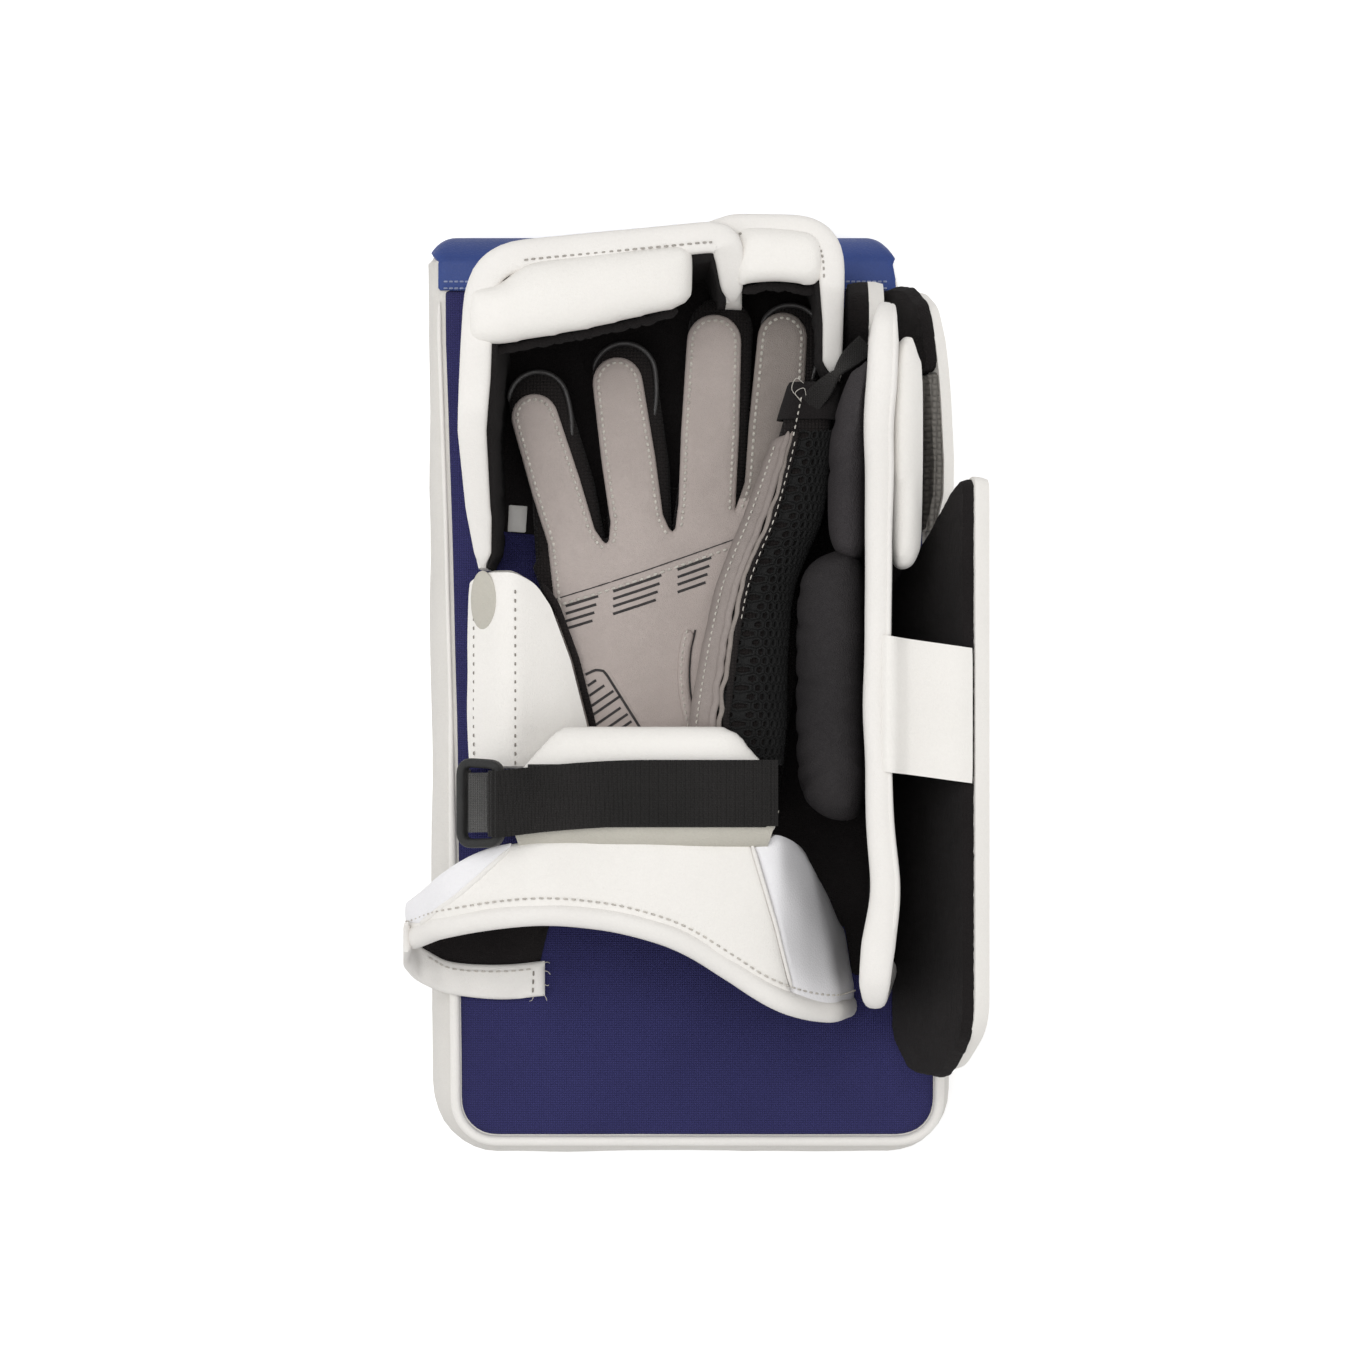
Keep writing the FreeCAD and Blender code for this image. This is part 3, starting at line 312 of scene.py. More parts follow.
def spread_out(plan, share):
    """The back face reaches out past the taper: on the left towards the top, low on the right, and below."""
    spread = np.array(plan, float)
    left = np.interp(spread[:, 1], *SPREAD_LEFT)
    right = np.interp(spread[:, 1], *SPREAD_RIGHT)
    spread[:, 0] -= left * share * ramp(-spread[:, 0], *SPREAD_SIDE)
    spread[:, 0] += right * share * ramp(spread[:, 0], *SPREAD_SIDE)
    spread[:, 1] -= SPREAD_BELOW * share * ramp(-spread[:, 1], *SPREAD_LOW)
    return spread


def wall_plan(height, swell, corner_steps=9):
    """Plan of the padded wall at a height, where its foam makes it swell; the shoulder swells less."""
    shoulder = swell * (SHOULDER_SWELL if swell > 0 else SHOULDER_SINK)
    plan = board_plan(swell - BOARD_TAPER * min(height, BACK_Z), shoulder, corner_steps)
    plan[:, 0] -= RIGHT_HELD_IN * max(0.0, swell) * ramp(plan[:, 0], BOARD_HALF_X)
    return spread_out(plan, max(0.0, height - SPREAD_FROM_Z) / (BACK_Z - SPREAD_FROM_Z))


# A darker copy of the white leather for the board's wall: its darker tone is painted shade on the wall's
# sloping sides.
board_leather = make_leather("board_leather", (0.71, 0.687, 0.65), (0.655, 0.632, 0.596), 0.52, 900.0, 0.7,
                             0.00025, slot="white_leather")
WALL_PROFILE = ((0.0, -40.0), (0.0, -6.0), (0.2, -2.4), (1.3, -0.5), (2.6, 0.4), (3.4, 0.5), (4.0, -0.1),
                (4.7, 0.8), (7.0, 2.7), (11.0, 4.7), (16.0, 5.3), (21.0, 4.4), (25.0, 2.4), (27.2, 0.6),
                (28.8, -1.2), (29.4, -3.2), (28.6, -6.0))
rings = []
for height, swell in WALL_PROFILE:
    plan = wall_plan(height, swell)
    ring = np.column_stack([plan, np.full(len(plan), height)])
    wave = wander(ring, 38.0, 0.9) + wander(ring, 11.0, 0.25)
    by_shoulder = plan[:, 0] > 60
    blue_starts = np.where(by_shoulder, 165.0, 180.5)
    under_blue = np.where(by_shoulder, 4.5, 2.2) * ramp(plan[:, 1], 3.0, blue_starts)
    ring[:, :2] += unit(plan) * (wave * min(1.0, height / WAVE_FULL_Z) - under_blue)[:, None]
    rings.append(ring)
piece("board_cover", np.vstack(rings), tube_faces(len(rings), len(rings[0]), last=False), board_leather,
      "board", ("board_front_cover", "board_side_wall"))

# Board back
# Indigo woven nylon stretched over the foam and sewn into the piping, slack enough to show soft dents.
# The cloth is cut as one flat sheet, so its threads run straight up and across the board.
SEAM_Y = 168.5
TURNED_EDGE = 0.9
EDGE_DROP = 0.55
DENT_SIZE = 17.0
CHUNK = 1500


def make_weave():
    """Plain weave: threads that pass over and under each other, from a place and threads per metre."""
    tree, given, out = new_group(
        "plain_weave", [("Place", "NodeSocketVector", (0, 0, 0)), ("Threads", "NodeSocketFloat", 1000.0)],
        [("Height", "NodeSocketFloat")])
    axes = node(tree, "ShaderNodeSeparateXYZ", Vector=given["Place"]).outputs
    count = [sums(tree, "MULTIPLY", axes[i], given["Threads"]) for i in (0, 1)]
    arch = [sums(tree, "ABSOLUTE", sums(tree, "SINE", sums(tree, "MULTIPLY", c, math.pi))) for c in count]
    steps = sums(tree, "ADD", sums(tree, "FLOOR", count[0]), sums(tree, "FLOOR", count[1]))
    over = sums(tree, "FLOORED_MODULO", steps, 2.0)
    half_up = [sums(tree, "MULTIPLY_ADD", a, 0.5, 0.5) for a in arch]
    warp = sums(tree, "MULTIPLY", arch[0], half_up[1])
    weft = sums(tree, "MULTIPLY", arch[1], half_up[0])
    height = node(tree, "ShaderNodeMix", data_type="FLOAT", _0=over, _2=warp, _3=weft).outputs[0]
    tree.links.new(height, out["Height"])
    return tree


plain_weave = make_weave()


def make_cloth(name, pale, deep, rough, threads, depth=0.0005, shine=0.15, slot=None):
    """Woven cloth: the weave lifts the surface, and the threads that dip are darkened as painted shade."""
    made, tree, shader = new_finish(name, pale, deep, 22.0, rough, slot, Sheen_Weight=0.04,
                                    Sheen_Roughness=0.5, Specular_IOR_Level=shine)
    weave = use_group(tree, plain_weave, Place=object_place(tree), Threads=threads)
    raise_bump(tree, shader, weave["Height"], depth)
    base = shader.inputs["Base Color"].links[0].from_socket
    # Painted shade: where the weave dips, the colour is mixed towards a darker tone.
    share = ranged(tree, weave["Height"], To_Min=0.45, To_Max=0.0)
    tree.links.new(mixed(tree, share, base, (*[c * 0.4 for c in deep], 1)), shader.inputs["Base Color"])
    return made


blue_nylon = make_cloth("blue_nylon", (0.044, 0.043, 0.165), (0.037, 0.036, 0.14), 0.62, 1050.0)


def in_chunks(work, points, rim):
    return np.concatenate([work(points[i:i + CHUNK], rim) for i in range(0, len(points), CHUNK)])


def rim_distance(points, rim):
    """How far each point is from a closed outline."""
    run = (np.roll(rim, -1, 0) - rim)[None]
    apart = points[:, None] - rim[None]
    share = np.clip((apart * run).sum(2) / np.maximum((run * run).sum(2), 1e-12), 0, 1)
    return np.linalg.norm(apart - share[..., None] * run, axis=2).min(1)


def within(points, rim):
    """Which points lie inside a closed outline."""
    x, y = points[:, :1], points[:, 1:]
    x0, y0 = rim[:, 0], rim[:, 1]
    x1, y1 = np.roll(x0, -1), np.roll(y0, -1)
    rise = np.where(y1 == y0, 1e-12, y1 - y0)
    crossed = ((y0 > y) != (y1 > y)) & (x < x0 + (y - y0) / rise * (x1 - x0))
    return crossed.sum(1) % 2 == 1


def stops_along(run):
    return np.concatenate([[0], np.cumsum(np.linalg.norm(np.diff(run, axis=0), axis=1))])


def spaced(points, step, ring=True):
    """Line or closed outline with its points an even step apart."""
    run = np.asarray(points, float)
    run = np.vstack([run, run[:1]]) if ring else run
    stops = stops_along(run)
    at = np.linspace(0, stops[-1], max(4, round(stops[-1] / step)), endpoint=not ring)
    return np.column_stack([np.interp(at, stops, axis) for axis in run.T])


def inner_line(rim, depth):
    """Points of an outline moved inwards by a depth, left out where they would crowd."""
    ahead = np.roll(rim, -1, 0) - np.roll(rim, 1, 0)
    ahead /= np.maximum(1e-9, np.linalg.norm(ahead, axis=1))[:, None]
    area = (rim[:, 0] * np.roll(rim[:, 1], -1) - rim[:, 1] * np.roll(rim[:, 0], -1)).sum()
    moved = rim + np.column_stack([-ahead[:, 1], ahead[:, 0]]) * depth * np.sign(area)
    return moved[in_chunks(within, moved, rim) & (in_chunks(rim_distance, moved, rim) > depth * 0.9)]


def cut_panel(outline, step, lip=TURNED_EDGE):
    """Flat cut of material: its points, triangles and each point's distance from the cut edge."""
    rim = spaced(outline, step * 0.7)
    low, high = rim.min(0), rim.max(0)
    rows = np.arange(low[1], high[1], step * 0.87)
    columns = np.arange(low[0], high[0], step)
    grid = np.array([(x + step / 2 * (i % 2), y) for i, y in enumerate(rows) for x in columns])
    grid = grid[in_chunks(within, grid, rim)]
    grid = grid[in_chunks(rim_distance, grid, rim) > lip + step * 0.55]
    spots = np.vstack([rim, inner_line(rim, lip), grid])
    loop = [(i, (i + 1) % len(rim)) for i in range(len(rim))]
    made = delaunay_2d_cdt([Vector(p) for p in spots], loop, [], 1, 1e-4)
    spots = np.array([tuple(p) for p in made[0]])
    return spots, [tuple(f) for f in made[2]], in_chunks(rim_distance, spots, rim)


def closed_sheet(name, upper, under, faces, finish, carrier, nodes=()):
    """Closed piece between two layers of points that share their faces."""
    count = len(upper)
    edges = {(a, b) for f in faces for a, b in zip(f, f[1:] + f[:1])}
    walls = [(b, a, a + count, b + count) for a, b in sorted(edges) if (b, a) not in edges]
    lower = [tuple(i + count for i in reversed(f)) for f in faces]
    return piece(name, np.vstack([upper, under]), faces + lower + walls, finish, carrier, nodes)


def skin(name, spots, triangles, top, under, place, finish, carrier, nodes=()):
    """Closed piece between an upper and a lower surface over part of a flat cut."""
    used = sorted({i for t in triangles for i in t})
    index = {old: new for new, old in enumerate(used)}
    u, v = spots[used].T
    faces = [tuple(index[i] for i in t) for t in triangles]
    return closed_sheet(name, place(u, v, top[used]), place(u, v, under[used]), faces, finish, carrier, nodes)


def in_columns(*parts):
    """Coordinates side by side; a single number stands for a whole column."""
    return np.column_stack(np.broadcast_arrays(*parts))


def flat_at(z):
    return lambda u, v, w: in_columns(u, v, z + w)


def panel(name, outline, place, thick, finish, carrier, nodes=(), step=2.0, puff=0.5, soft=6.0, dents=0.15):
    """Sewn panel: a cut laid on a surface, with a turned edge, a soft crown and slight dents."""
    spots, triangles, depth = cut_panel(outline, step)
    edge_drop = EDGE_DROP * thick * (1 - ramp(depth, TURNED_EDGE))
    top = thick - edge_drop + puff * (1 - np.exp(-depth / soft))
    top += wander(spots, DENT_SIZE, dents) * ramp(depth, soft)
    return skin(name, spots, triangles, top, np.zeros(len(spots)), place, finish, carrier, nodes)


nylon_outline = [(x, min(y, SEAM_Y)) for x, y in spread_out(board_plan(-11.3), 1.0)]
panel("board_back", nylon_outline, flat_at(BACK_Z - 2.0), 1.6, blue_nylon, "board", ("board_back_panel",),
      step=4.5, puff=0.9, soft=9.0, dents=0.5)

# Board top
# Royal blue leather sewn to the nylon with two rows of pale thread and pulled over the board's top edge.
# It covers the whole of the top wall and turns round both corners.
BLUE_WALL_Y = 184.5
FINE_CORNER = 13
STITCH_SIDES = 6
STITCH_FLAT = 0.7
STITCH_PROFILE = ((0.0, -0.9, 0.35), (0.14, 0.1, 0.9), (0.5, 0.45, 1.0), (0.86, 0.1, 0.9), (1.0, -0.9, 0.35))
blue_leather = make_leather("blue_leather", (0.033, 0.068, 0.26), (0.026, 0.054, 0.21), 0.42, 800.0, 0.6,
                            0.0003, 0.35)
BLUE_PROFILE = ((2.2, 0.6), (5.0, 1.8), (10.0, 4.6), (16.0, 5.4), (22.0, 4.3), (26.0, 2.3), (28.6, 0.2),
                (30.2, -1.8), (30.7, -4.0), (30.5, -7.5))
on_top = board_plan(0, corner_steps=FINE_CORNER)[:, 1] > BLUE_WALL_Y
rings = []
for height, swell in BLUE_PROFILE:
    plan = wall_plan(height, swell, FINE_CORNER)[on_top]
    rings.append(np.column_stack([plan, height + wander(np.column_stack([plan, plan[:, 0]]), 25.0, 0.3)]))
outer = np.vstack(rings)
closed_sheet("board_top", outer, outer * (0.988, 0.988, 1.0) - (0, 0, 0.8),
             rows_of_faces(len(rings), len(rings[0]), False), blue_leather, "board", ("board_top_panel",))
strip_rim = spread_out(board_plan(-8.6, corner_steps=FINE_CORNER), 1.0)
blue_strip = [(x, max(y, SEAM_Y)) for x, y in strip_rim if y > SEAM_Y - 16.0]
panel("board_top_strip", blue_strip, flat_at(BACK_Z - 0.2), 1.0, blue_leather, "board", step=2.5, puff=0.4)


def thread_finish(name, colour):
    """Sewing thread: a twisted yarn with a drifting tone."""
    made, tree, shader = new_finish(name, colour, tuple(c * 0.8 for c in colour), 300.0, 0.6, "white_binding")
    twist = node(tree, "ShaderNodeTexWave", Vector=object_place(tree), Scale=900.0,
                 bands_direction="DIAGONAL")
    raise_bump(tree, shader, twist.outputs["Fac"], 0.0002)
    return made


def round_turn(count):
    return np.linspace(0, 2 * math.pi, count, endpoint=False)


def joined(name, clouds, blocks, finish, carrier, nodes=()):
    """One piece from many separate shapes, each with its own points and faces."""
    faces = []
    first = 0
    for cloud, block in zip(clouds, blocks):
        faces += [tuple(first + k for k in f) for f in block]
        first += len(cloud)
    return piece(name, np.vstack(clouds), faces, finish, carrier, nodes)


def stitches(name, line, place, lift, finish, carrier, pitch=2.6, share=0.68, width=0.55):
    """Row of stitches along a line on a surface: each is a short thread whose ends dip into the material."""
    run = spaced(line, pitch, False)
    near = np.linalg.norm(run[1:] - run[:-1], axis=1) < pitch * 1.6
    start, ahead = run[:-1][near], run[1:][near]
    rows = []
    for along, rise, fat in STITCH_PROFILE:
        spot = start + (ahead - start) * along * share
        level = lift(spot) if callable(lift) else lift
        foot = place(*spot.T, level)
        up = unit(place(*spot.T, level + 1.0) - foot)
        across = unit(np.cross(place(*ahead.T, level) - place(*start.T, level), up))
        for angle in round_turn(STITCH_SIDES):
            rows.append(foot + up * (rise * width + width * fat * math.sin(angle) * STITCH_FLAT)
                        + across * width * fat * math.cos(angle))
    clouds = np.stack(rows, axis=1)
    return joined(name, clouds, [tube_faces(len(STITCH_PROFILE), STITCH_SIDES)] * len(clouds), finish,
                  carrier)


pale_blue_thread = thread_finish("pale_blue_thread", (0.33, 0.38, 0.58))
for row, row_y in enumerate((SEAM_Y + 0.8, SEAM_Y + 3.6)):
    stitches(f"top_seam_thread_{row}", [(-104.0, row_y), (82.0, row_y)], flat_at(BACK_Z), 1.0,
             pale_blue_thread, "board", pitch=2.2, share=0.86, width=0.4)

# Piping
# A cord wrapped in white leather and sewn into the seam where the nylon meets the wall.
# It runs down both sides and round the lower end, and stops at the blue top.
PIPE_RADIUS = 2.1
ROUND_END_STEPS = 2.5
UP = np.array((0.0, 0.0, 1.0))
white_binding = make_leather("white_binding", (0.83, 0.805, 0.77), (0.78, 0.755, 0.72), 0.45, 1000.0, 0.8,
                             0.0002)


def oval(angles, power, tall_power=None):
    """Across and up on a round section, which a power under one draws out towards a square."""
    across, up = np.cos(angles), np.sin(angles)
    return np.sign(across) * np.abs(across) ** power, np.sign(up) * np.abs(up) ** (tall_power or power)


def edge_frame(spine, outward=UP):
    """Side and rise directions for a strip carried along a spine on a surface."""
    ahead = unit(np.gradient(spine, axis=0))
    side = unit(np.cross(ahead, outward))
    return side, np.cross(side, ahead)


def rolled_edge(name, spine, side, rise, half_wide, half_high, finish, carrier, nodes=(), sides=16,
                square=2.4, ring=False):
    """Rounded strip carried along a spine, with its ends closed; side and rise are its two directions."""
    count = len(spine)
    ends = np.minimum(np.arange(count), np.arange(count)[::-1])
    close = np.ones(count) if ring else np.sqrt(ramp(ends + 0.15, ROUND_END_STEPS))
    across, up = oval(round_turn(sides), 2 / square)
    wide = side * (half_wide * close)[:, None]
    high = rise * (half_high * close)[:, None]
    cloud = spine[:, None] + wide[:, None] * across[None, :, None] + high[:, None] * up[None, :, None]
    if ring:
        faces = rows_of_faces(count, sides)
        faces += [((count - 1) * sides + k, (count - 1) * sides + (k + 1) % sides, (k + 1) % sides, k)
                  for k in range(sides)]
    else:
        faces = tube_faces(count, sides)
    return piece(name, cloud.reshape(-1, 3), faces, finish, carrier, nodes)


pipe_plan = spread_out(board_plan(-9.0), 1.0)
pipe_start = int(np.argmax(pipe_plan[:, 1] - pipe_plan[:, 0]))
pipe_line = spaced([p for p in np.roll(pipe_plan, -pipe_start, 0) if p[1] < SEAM_Y + 8.0], 3.0, False)
pipe_rise = wander(np.column_stack([pipe_line, pipe_line[:, 0]]), 20.0, 0.35)
pipe_spine = np.column_stack([pipe_line, BACK_Z + pipe_rise])
pipe_size = np.interp(pipe_line[:, 1], (-130, -70, 0), (PIPE_RADIUS, 1.6, 0.9))
rolled_edge("board_piping_roll", pipe_spine, *edge_frame(pipe_spine), pipe_size, pipe_size,
            white_binding, "board", ("board_piping",), square=2.0)

# Glove body
# Black stretch knit sewn into a bag over a padded back: it holds the hand and opens at the wrist.
# The knit lies on a foam pad that is glued to the board.
GLOVE_LOW_Z = 36.0
PALM_Z = 56.0
HIDE = 1.6
WRIST_Y = -58.0
BAG_SIDES = 40
BAG_WALL = 2.0
GUSSET_Z = 40.5
black_knit = make_cloth("black_knit", (0.024, 0.02, 0.019), (0.014, 0.011, 0.011), 0.8, 700.0, 0.0006)
HAND_PAD = [(-52, -55), (34, -55), (40.4, -20), (40.4, 86), (-20, 86), (-58, 56), (-58, 10)]
hand_pad = panel("hand_pad", HAND_PAD, flat_at(BACK_Z - 0.5), 5.2, black_knit, "board", ("hand_back_pad",),
                 step=5.0, puff=1.2)
GLOVE_STATIONS = ((-58.0, -50.0, 28.0), (-40.0, -51.0, 33.0), (-20.0, -52.2, 38.5), (8.0, -54.3, 44.0),
                  (30.0, -56.0, 44.2), (48.0, -57.0, 44.0), (58.0, -54.0, 43.4), (66.0, -30.0, 43.2))
middle_z = (PALM_Z - HIDE + GLOVE_LOW_Z) / 2
half_z = (PALM_Z - HIDE - GLOVE_LOW_Z) / 2
across, up = oval(round_turn(BAG_SIDES), 0.35, 0.5)
outer_rings = []
inner_rings = []
for y, left, right in GLOVE_STATIONS:
    for bag, take in ((outer_rings, 0.0), (inner_rings, BAG_WALL)):
        x = (left + right) / 2 + ((right - left) / 2 - take) * across
        bag.append(in_columns(x, y - take * 0.4, middle_z + (half_z - take) * up))
bag_rings = outer_rings[::-1] + inner_rings
piece("glove_bag", np.vstack(bag_rings), tube_faces(len(bag_rings), BAG_SIDES), black_knit, "board",
      ("glove_back",))
GUSSET = [(-54.0, 35.5), (-62.4, 42.0), (-66.0, 52.0), (-62.0, 60.0), (-52.0, 58.0), (-50.0, 40.0)]
panel("glove_gusset", GUSSET, flat_at(GUSSET_Z), 12.5, black_knit, "board", step=1.8, puff=2.5, soft=4.0)

# Palm and finger faces
# One hide of warm grey suede-like leather covers the palm and the gripping side of the fingers.
# It is sewn to the knit with pale thread near its edge, and each finger's part is a piece of its own from the
# knuckle on.
KNUCKLE_RUN = 14.0
THREAD_IN = 2.3
SEAM_THREAD = 3.4
MIDDLE_SPARE = 1.3
INDEX_SLIT = [(19.0, 79.0), (17.7, 75.6)]
CROTCHES = {"middle_finger": (-8.2, 66.5), "ring_finger": (-35.6, 61.5)}
HIDE_NODES = {"board": ("glove_palm",), "index_root": (), "index_finger": ("index_tip_pad",)}
PALM_SEAM = np.array([(-56.5, 39.0), (-40.0, 44.0), (-20.0, 50.5), (0.0, 57.5), (24.0, 66.0), (46.0, 74.0)])
grey_leather = make_leather("grey_leather", (0.50, 0.435, 0.405), (0.43, 0.372, 0.345), 0.68, 1500.0, 0.9,
                            0.0004, 0.3)
dark_grey_leather = make_leather("dark_grey_leather", (0.31, 0.27, 0.245), (0.25, 0.215, 0.195), 0.6, 1500.0,
                                 1.2, 0.0005, 0.4, "grey_leather")
pale_thread = thread_finish("pale_thread", (0.76, 0.72, 0.65))
Finger = namedtuple("Finger", "x y width length lean hinge cap")
FINGERS = {
    "little_finger": Finger(-46.6, 54.0, 23.0, 72.0, 17.0, 0.0, 9.0),
    "ring_finger": Finger(-21.3, 61.0, 24.6, 78.0, 8.0, 0.0, 6.0),
    "middle_finger": Finger(5.0, 67.0, 25.0, 89.0, -2.5, 0.0, 8.0),
    "index_finger": Finger(31.2, 70.0, 24.4, 87.0, -4.5, 54.0, 4.0),
}


def on_finger(name, across, along):
    """Place in the plan at a distance across and along a finger from its root."""
    finger = FINGERS[name]
    turn = math.radians(finger.lean)
    return (finger.x + across * math.cos(turn) - along * math.sin(turn),
            finger.y + across * math.sin(turn) + along * math.cos(turn))


def finger_share(name, spots):
    """How far across and along a finger each place in the plan is."""
    finger = FINGERS[name]
    turn = math.radians(finger.lean)
    dx, dy = spots[:, 0] - finger.x, spots[:, 1] - finger.y
    return dx * math.cos(turn) + dy * math.sin(turn), dy * math.cos(turn) - dx * math.sin(turn)


def knuckle(name, before=0.0):
    """Carrier for a piece from the palm to a finger: the board, the finger and the two ends of a short run at
    its hinge.
    """
    if name not in FINGERS:
        return "board"
    hinge = FINGERS[name].hinge
    start = (*on_finger(name, 0, hinge - before), PALM_Z)
    end = (*on_finger(name, 0, hinge + KNUCKLE_RUN), PALM_Z)
    return "board", name, Vector(start) * MM, Vector(end) * MM


def hump(distance, width):
    return np.exp(-(distance / width) ** 2)


hide_outline = [(-50.0, WRIST_Y), (22.0, WRIST_Y), (30.0, -20.0), (33.5, 10.0), (37.0, 45.0)]
for name in reversed(FINGERS):
    length = FINGERS[name].length
    half = FINGERS[name].width / 2 - 1.2
    tip = half * 0.93
    spare = MIDDLE_SPARE if name == "middle_finger" else 0.0
    low = 16.0 if name == "index_finger" else 11.0
    rim = [(half * 0.98 + spare, low), (half + spare, length * 0.45)]
    for angle in np.radians(np.linspace(0, 180, 15)):
        rim.append((spare / 2 + (tip + spare / 2) * math.cos(angle),
                    length - tip * 1.05 + tip * 1.05 * math.sin(angle)))
    rim += [(-half, length * 0.45), (-half * 0.98, low)]
    hide_outline += [on_finger(name, *spot) for spot in rim]
    if name == "index_finger":
        hide_outline += INDEX_SLIT
    if name in CROTCHES:
        x, y = CROTCHES[name]
        hide_outline += [(x + 1.3, y + 1.2), (x, y), (x - 1.3, y + 1.2)]
hide_outline += [(-57.3, 42.0), (-55.8, 24.0), (-53.0, 0.0), (-51.0, -30.0)]
hide_spots, hide_triangles, hide_depth = cut_panel(hide_outline, 1.5, 0.8)
hide_top = HIDE - 1.5 * (1 - ramp(hide_depth, 2.2)) ** 2 + 0.9 * (1 - np.exp(-hide_depth / 5.0))
hide_top -= 0.6 * hump(hide_depth - THREAD_IN, 0.7)
hide_top += wander(hide_spots, 13.0, 0.5) * ramp(hide_depth, 6.0) + wander(hide_spots, 4.5, 0.12)
above = hide_spots[:, 1] - np.interp(hide_spots[:, 0], *PALM_SEAM.T)
hide_top += 0.55 / (1 + np.exp(-above / 0.35)) - 0.3 * hump(above + SEAM_THREAD, 0.7)
middles = hide_spots[np.array(hide_triangles)].mean(1)
owner = np.full(len(hide_triangles), "board", dtype=object)
for name, finger in FINGERS.items():
    across, along = finger_share(name, hide_spots)
    on_it = (np.abs(across) < finger.width / 2 + 1.5) & (along > 2)
    for crease in (0.34, 0.66):
        from_crease = along - finger.length * crease + wander(hide_spots, 7.0, 1.6)
        hide_top -= on_it * 0.22 * hump(from_crease, 0.9)
    across, along = finger_share(name, middles)
    spare = 0.6 if name == "middle_finger" else 1.8
    owner[(along > finger.hinge) & (np.abs(across) < finger.width / 2 + spare)] = name
across, along = finger_share("index_finger", middles)
owner[(owner == "board") & (along > 9.0) & (np.abs(across) < 14.0)] = "index_root"
palm_place = flat_at(PALM_Z - HIDE)
for name in ("board", "index_root", *FINGERS):
    part = [t for t, o in zip(hide_triangles, owner) if o == name]
    skin("hide_" + ("palm" if name == "board" else name), hide_spots, part, hide_top,
         np.full(len(hide_spots), -0.4), palm_place,
         dark_grey_leather if name.startswith("index") else grey_leather, knuckle(name),
         HIDE_NODES.get(name, (name + "_pad",)))


def above_hide(rise):
    """Heights over the hide's face, for places in the plan."""
    def height(spots):
        near = ((hide_spots[None] - np.asarray(spots)[:, None]) ** 2).sum(2).argmin(1)
        return hide_top[near] + rise
    return height


thread_line = inner_line(spaced(hide_outline, 0.8), THREAD_IN)
for name in ("board", *FINGERS):
    keep = np.ones(len(thread_line), bool)
    for other, finger in FINGERS.items():
        across, along = finger_share(other, thread_line)
        on_it = (along > finger.hinge) & (np.abs(across) < finger.width / 2)
        keep &= on_it if other == name else ~on_it
    line = thread_line[keep]
    if name == "board":
        line = line[(line[:, 1] > 20) | (line[:, 0] > 0)]
    gaps = np.where(np.linalg.norm(np.diff(line, axis=0), axis=1) > 3.5)[0] + 1
    for count, run in enumerate(np.split(line, gaps)):
        if len(run) > 6:
            stitches(f"hide_thread_{name}_{count}", run, palm_place, above_hide(0.2), pale_thread,
                     knuckle(name), share=0.7, width=0.56)
stitches("palm_seam_thread", PALM_SEAM[:-1] - (0, SEAM_THREAD), palm_place, above_hide(0.2), pale_thread,
         "board", pitch=2.9, share=0.72, width=0.52)

# Grip lines
# Dark rubber print on the palm: three groups of short lines under the seam, and slanted bars low down
# on a patch of the same hide, which is glued on where the shaft of the stick rubs.
LINE_SECTION = ((1, -0.3), (0.7, 0.22), (-0.7, 0.22), (-1, -0.3))
PATCH_Z = PALM_Z - HIDE + 2.0


def make_speckled(name, pale, deep, scale, rough, fine, depth, slot=None, shine=0.5):
    """Printed rubber or moulded plastic: drifting tone and a fine speckle."""
    made, tree, shader = new_finish(name, pale, deep, scale, rough, slot, Specular_IOR_Level=shine)
    raise_bump(tree, shader, node(tree, "ShaderNodeTexNoise", Scale=fine).outputs["Fac"], depth)
    return made


# This dark finish serves the rubber print and the painted shadow lines along the palm's seam and fold.
rubber = make_speckled("rubber_print_and_shadow", (0.03, 0.027, 0.027), (0.05, 0.045, 0.045), 300.0, 0.55, 1500.0,
                       0.0002, "black_leather")


def curve_through(points, count):
    """Smooth line through points, which it passes in order."""
    known = np.asarray(points, float)
    padded = np.vstack([2 * known[0] - known[1], known, 2 * known[-1] - known[-2]])
    at = np.linspace(0, len(known) - 1, count)
    i = np.minimum(at.astype(int), len(known) - 2)
    t = (at - i)[:, None]
    a, b, c, d = padded[i], padded[i + 1], padded[i + 2], padded[i + 3]
    square_part, cube_part = 2 * a - 5 * b + 4 * c - d, 3 * b - a - 3 * c + d
    return 0.5 * (2 * b + (c - a) * t + square_part * t ** 2 + cube_part * t ** 3)


def left_of(run):
    """Left-hand direction at each point of a run in a plan."""
    ahead = unit(np.gradient(run, axis=0))
    return np.column_stack([-ahead[:, 1], ahead[:, 0]])


def print_and_shadow_lines(name, lines, place, height, width):
    """Thin raised dark lines that follow a surface on the board, joined into one piece: rubber print, and
    painted shadow lines.
    """
    clouds = []
    for line in lines:
        run = spaced(line, 1.5, False)
        side = left_of(run) * width / 2
        level = height(run)
        rows = [place(*(run + side * share).T, level + lift) for share, lift in LINE_SECTION]
        clouds.append(np.stack(rows, axis=1).reshape(-1, 3))
    sides = len(LINE_SECTION)
    return joined(name, clouds, [tube_faces(len(cloud) // sides, sides) for cloud in clouds], rubber, "board")


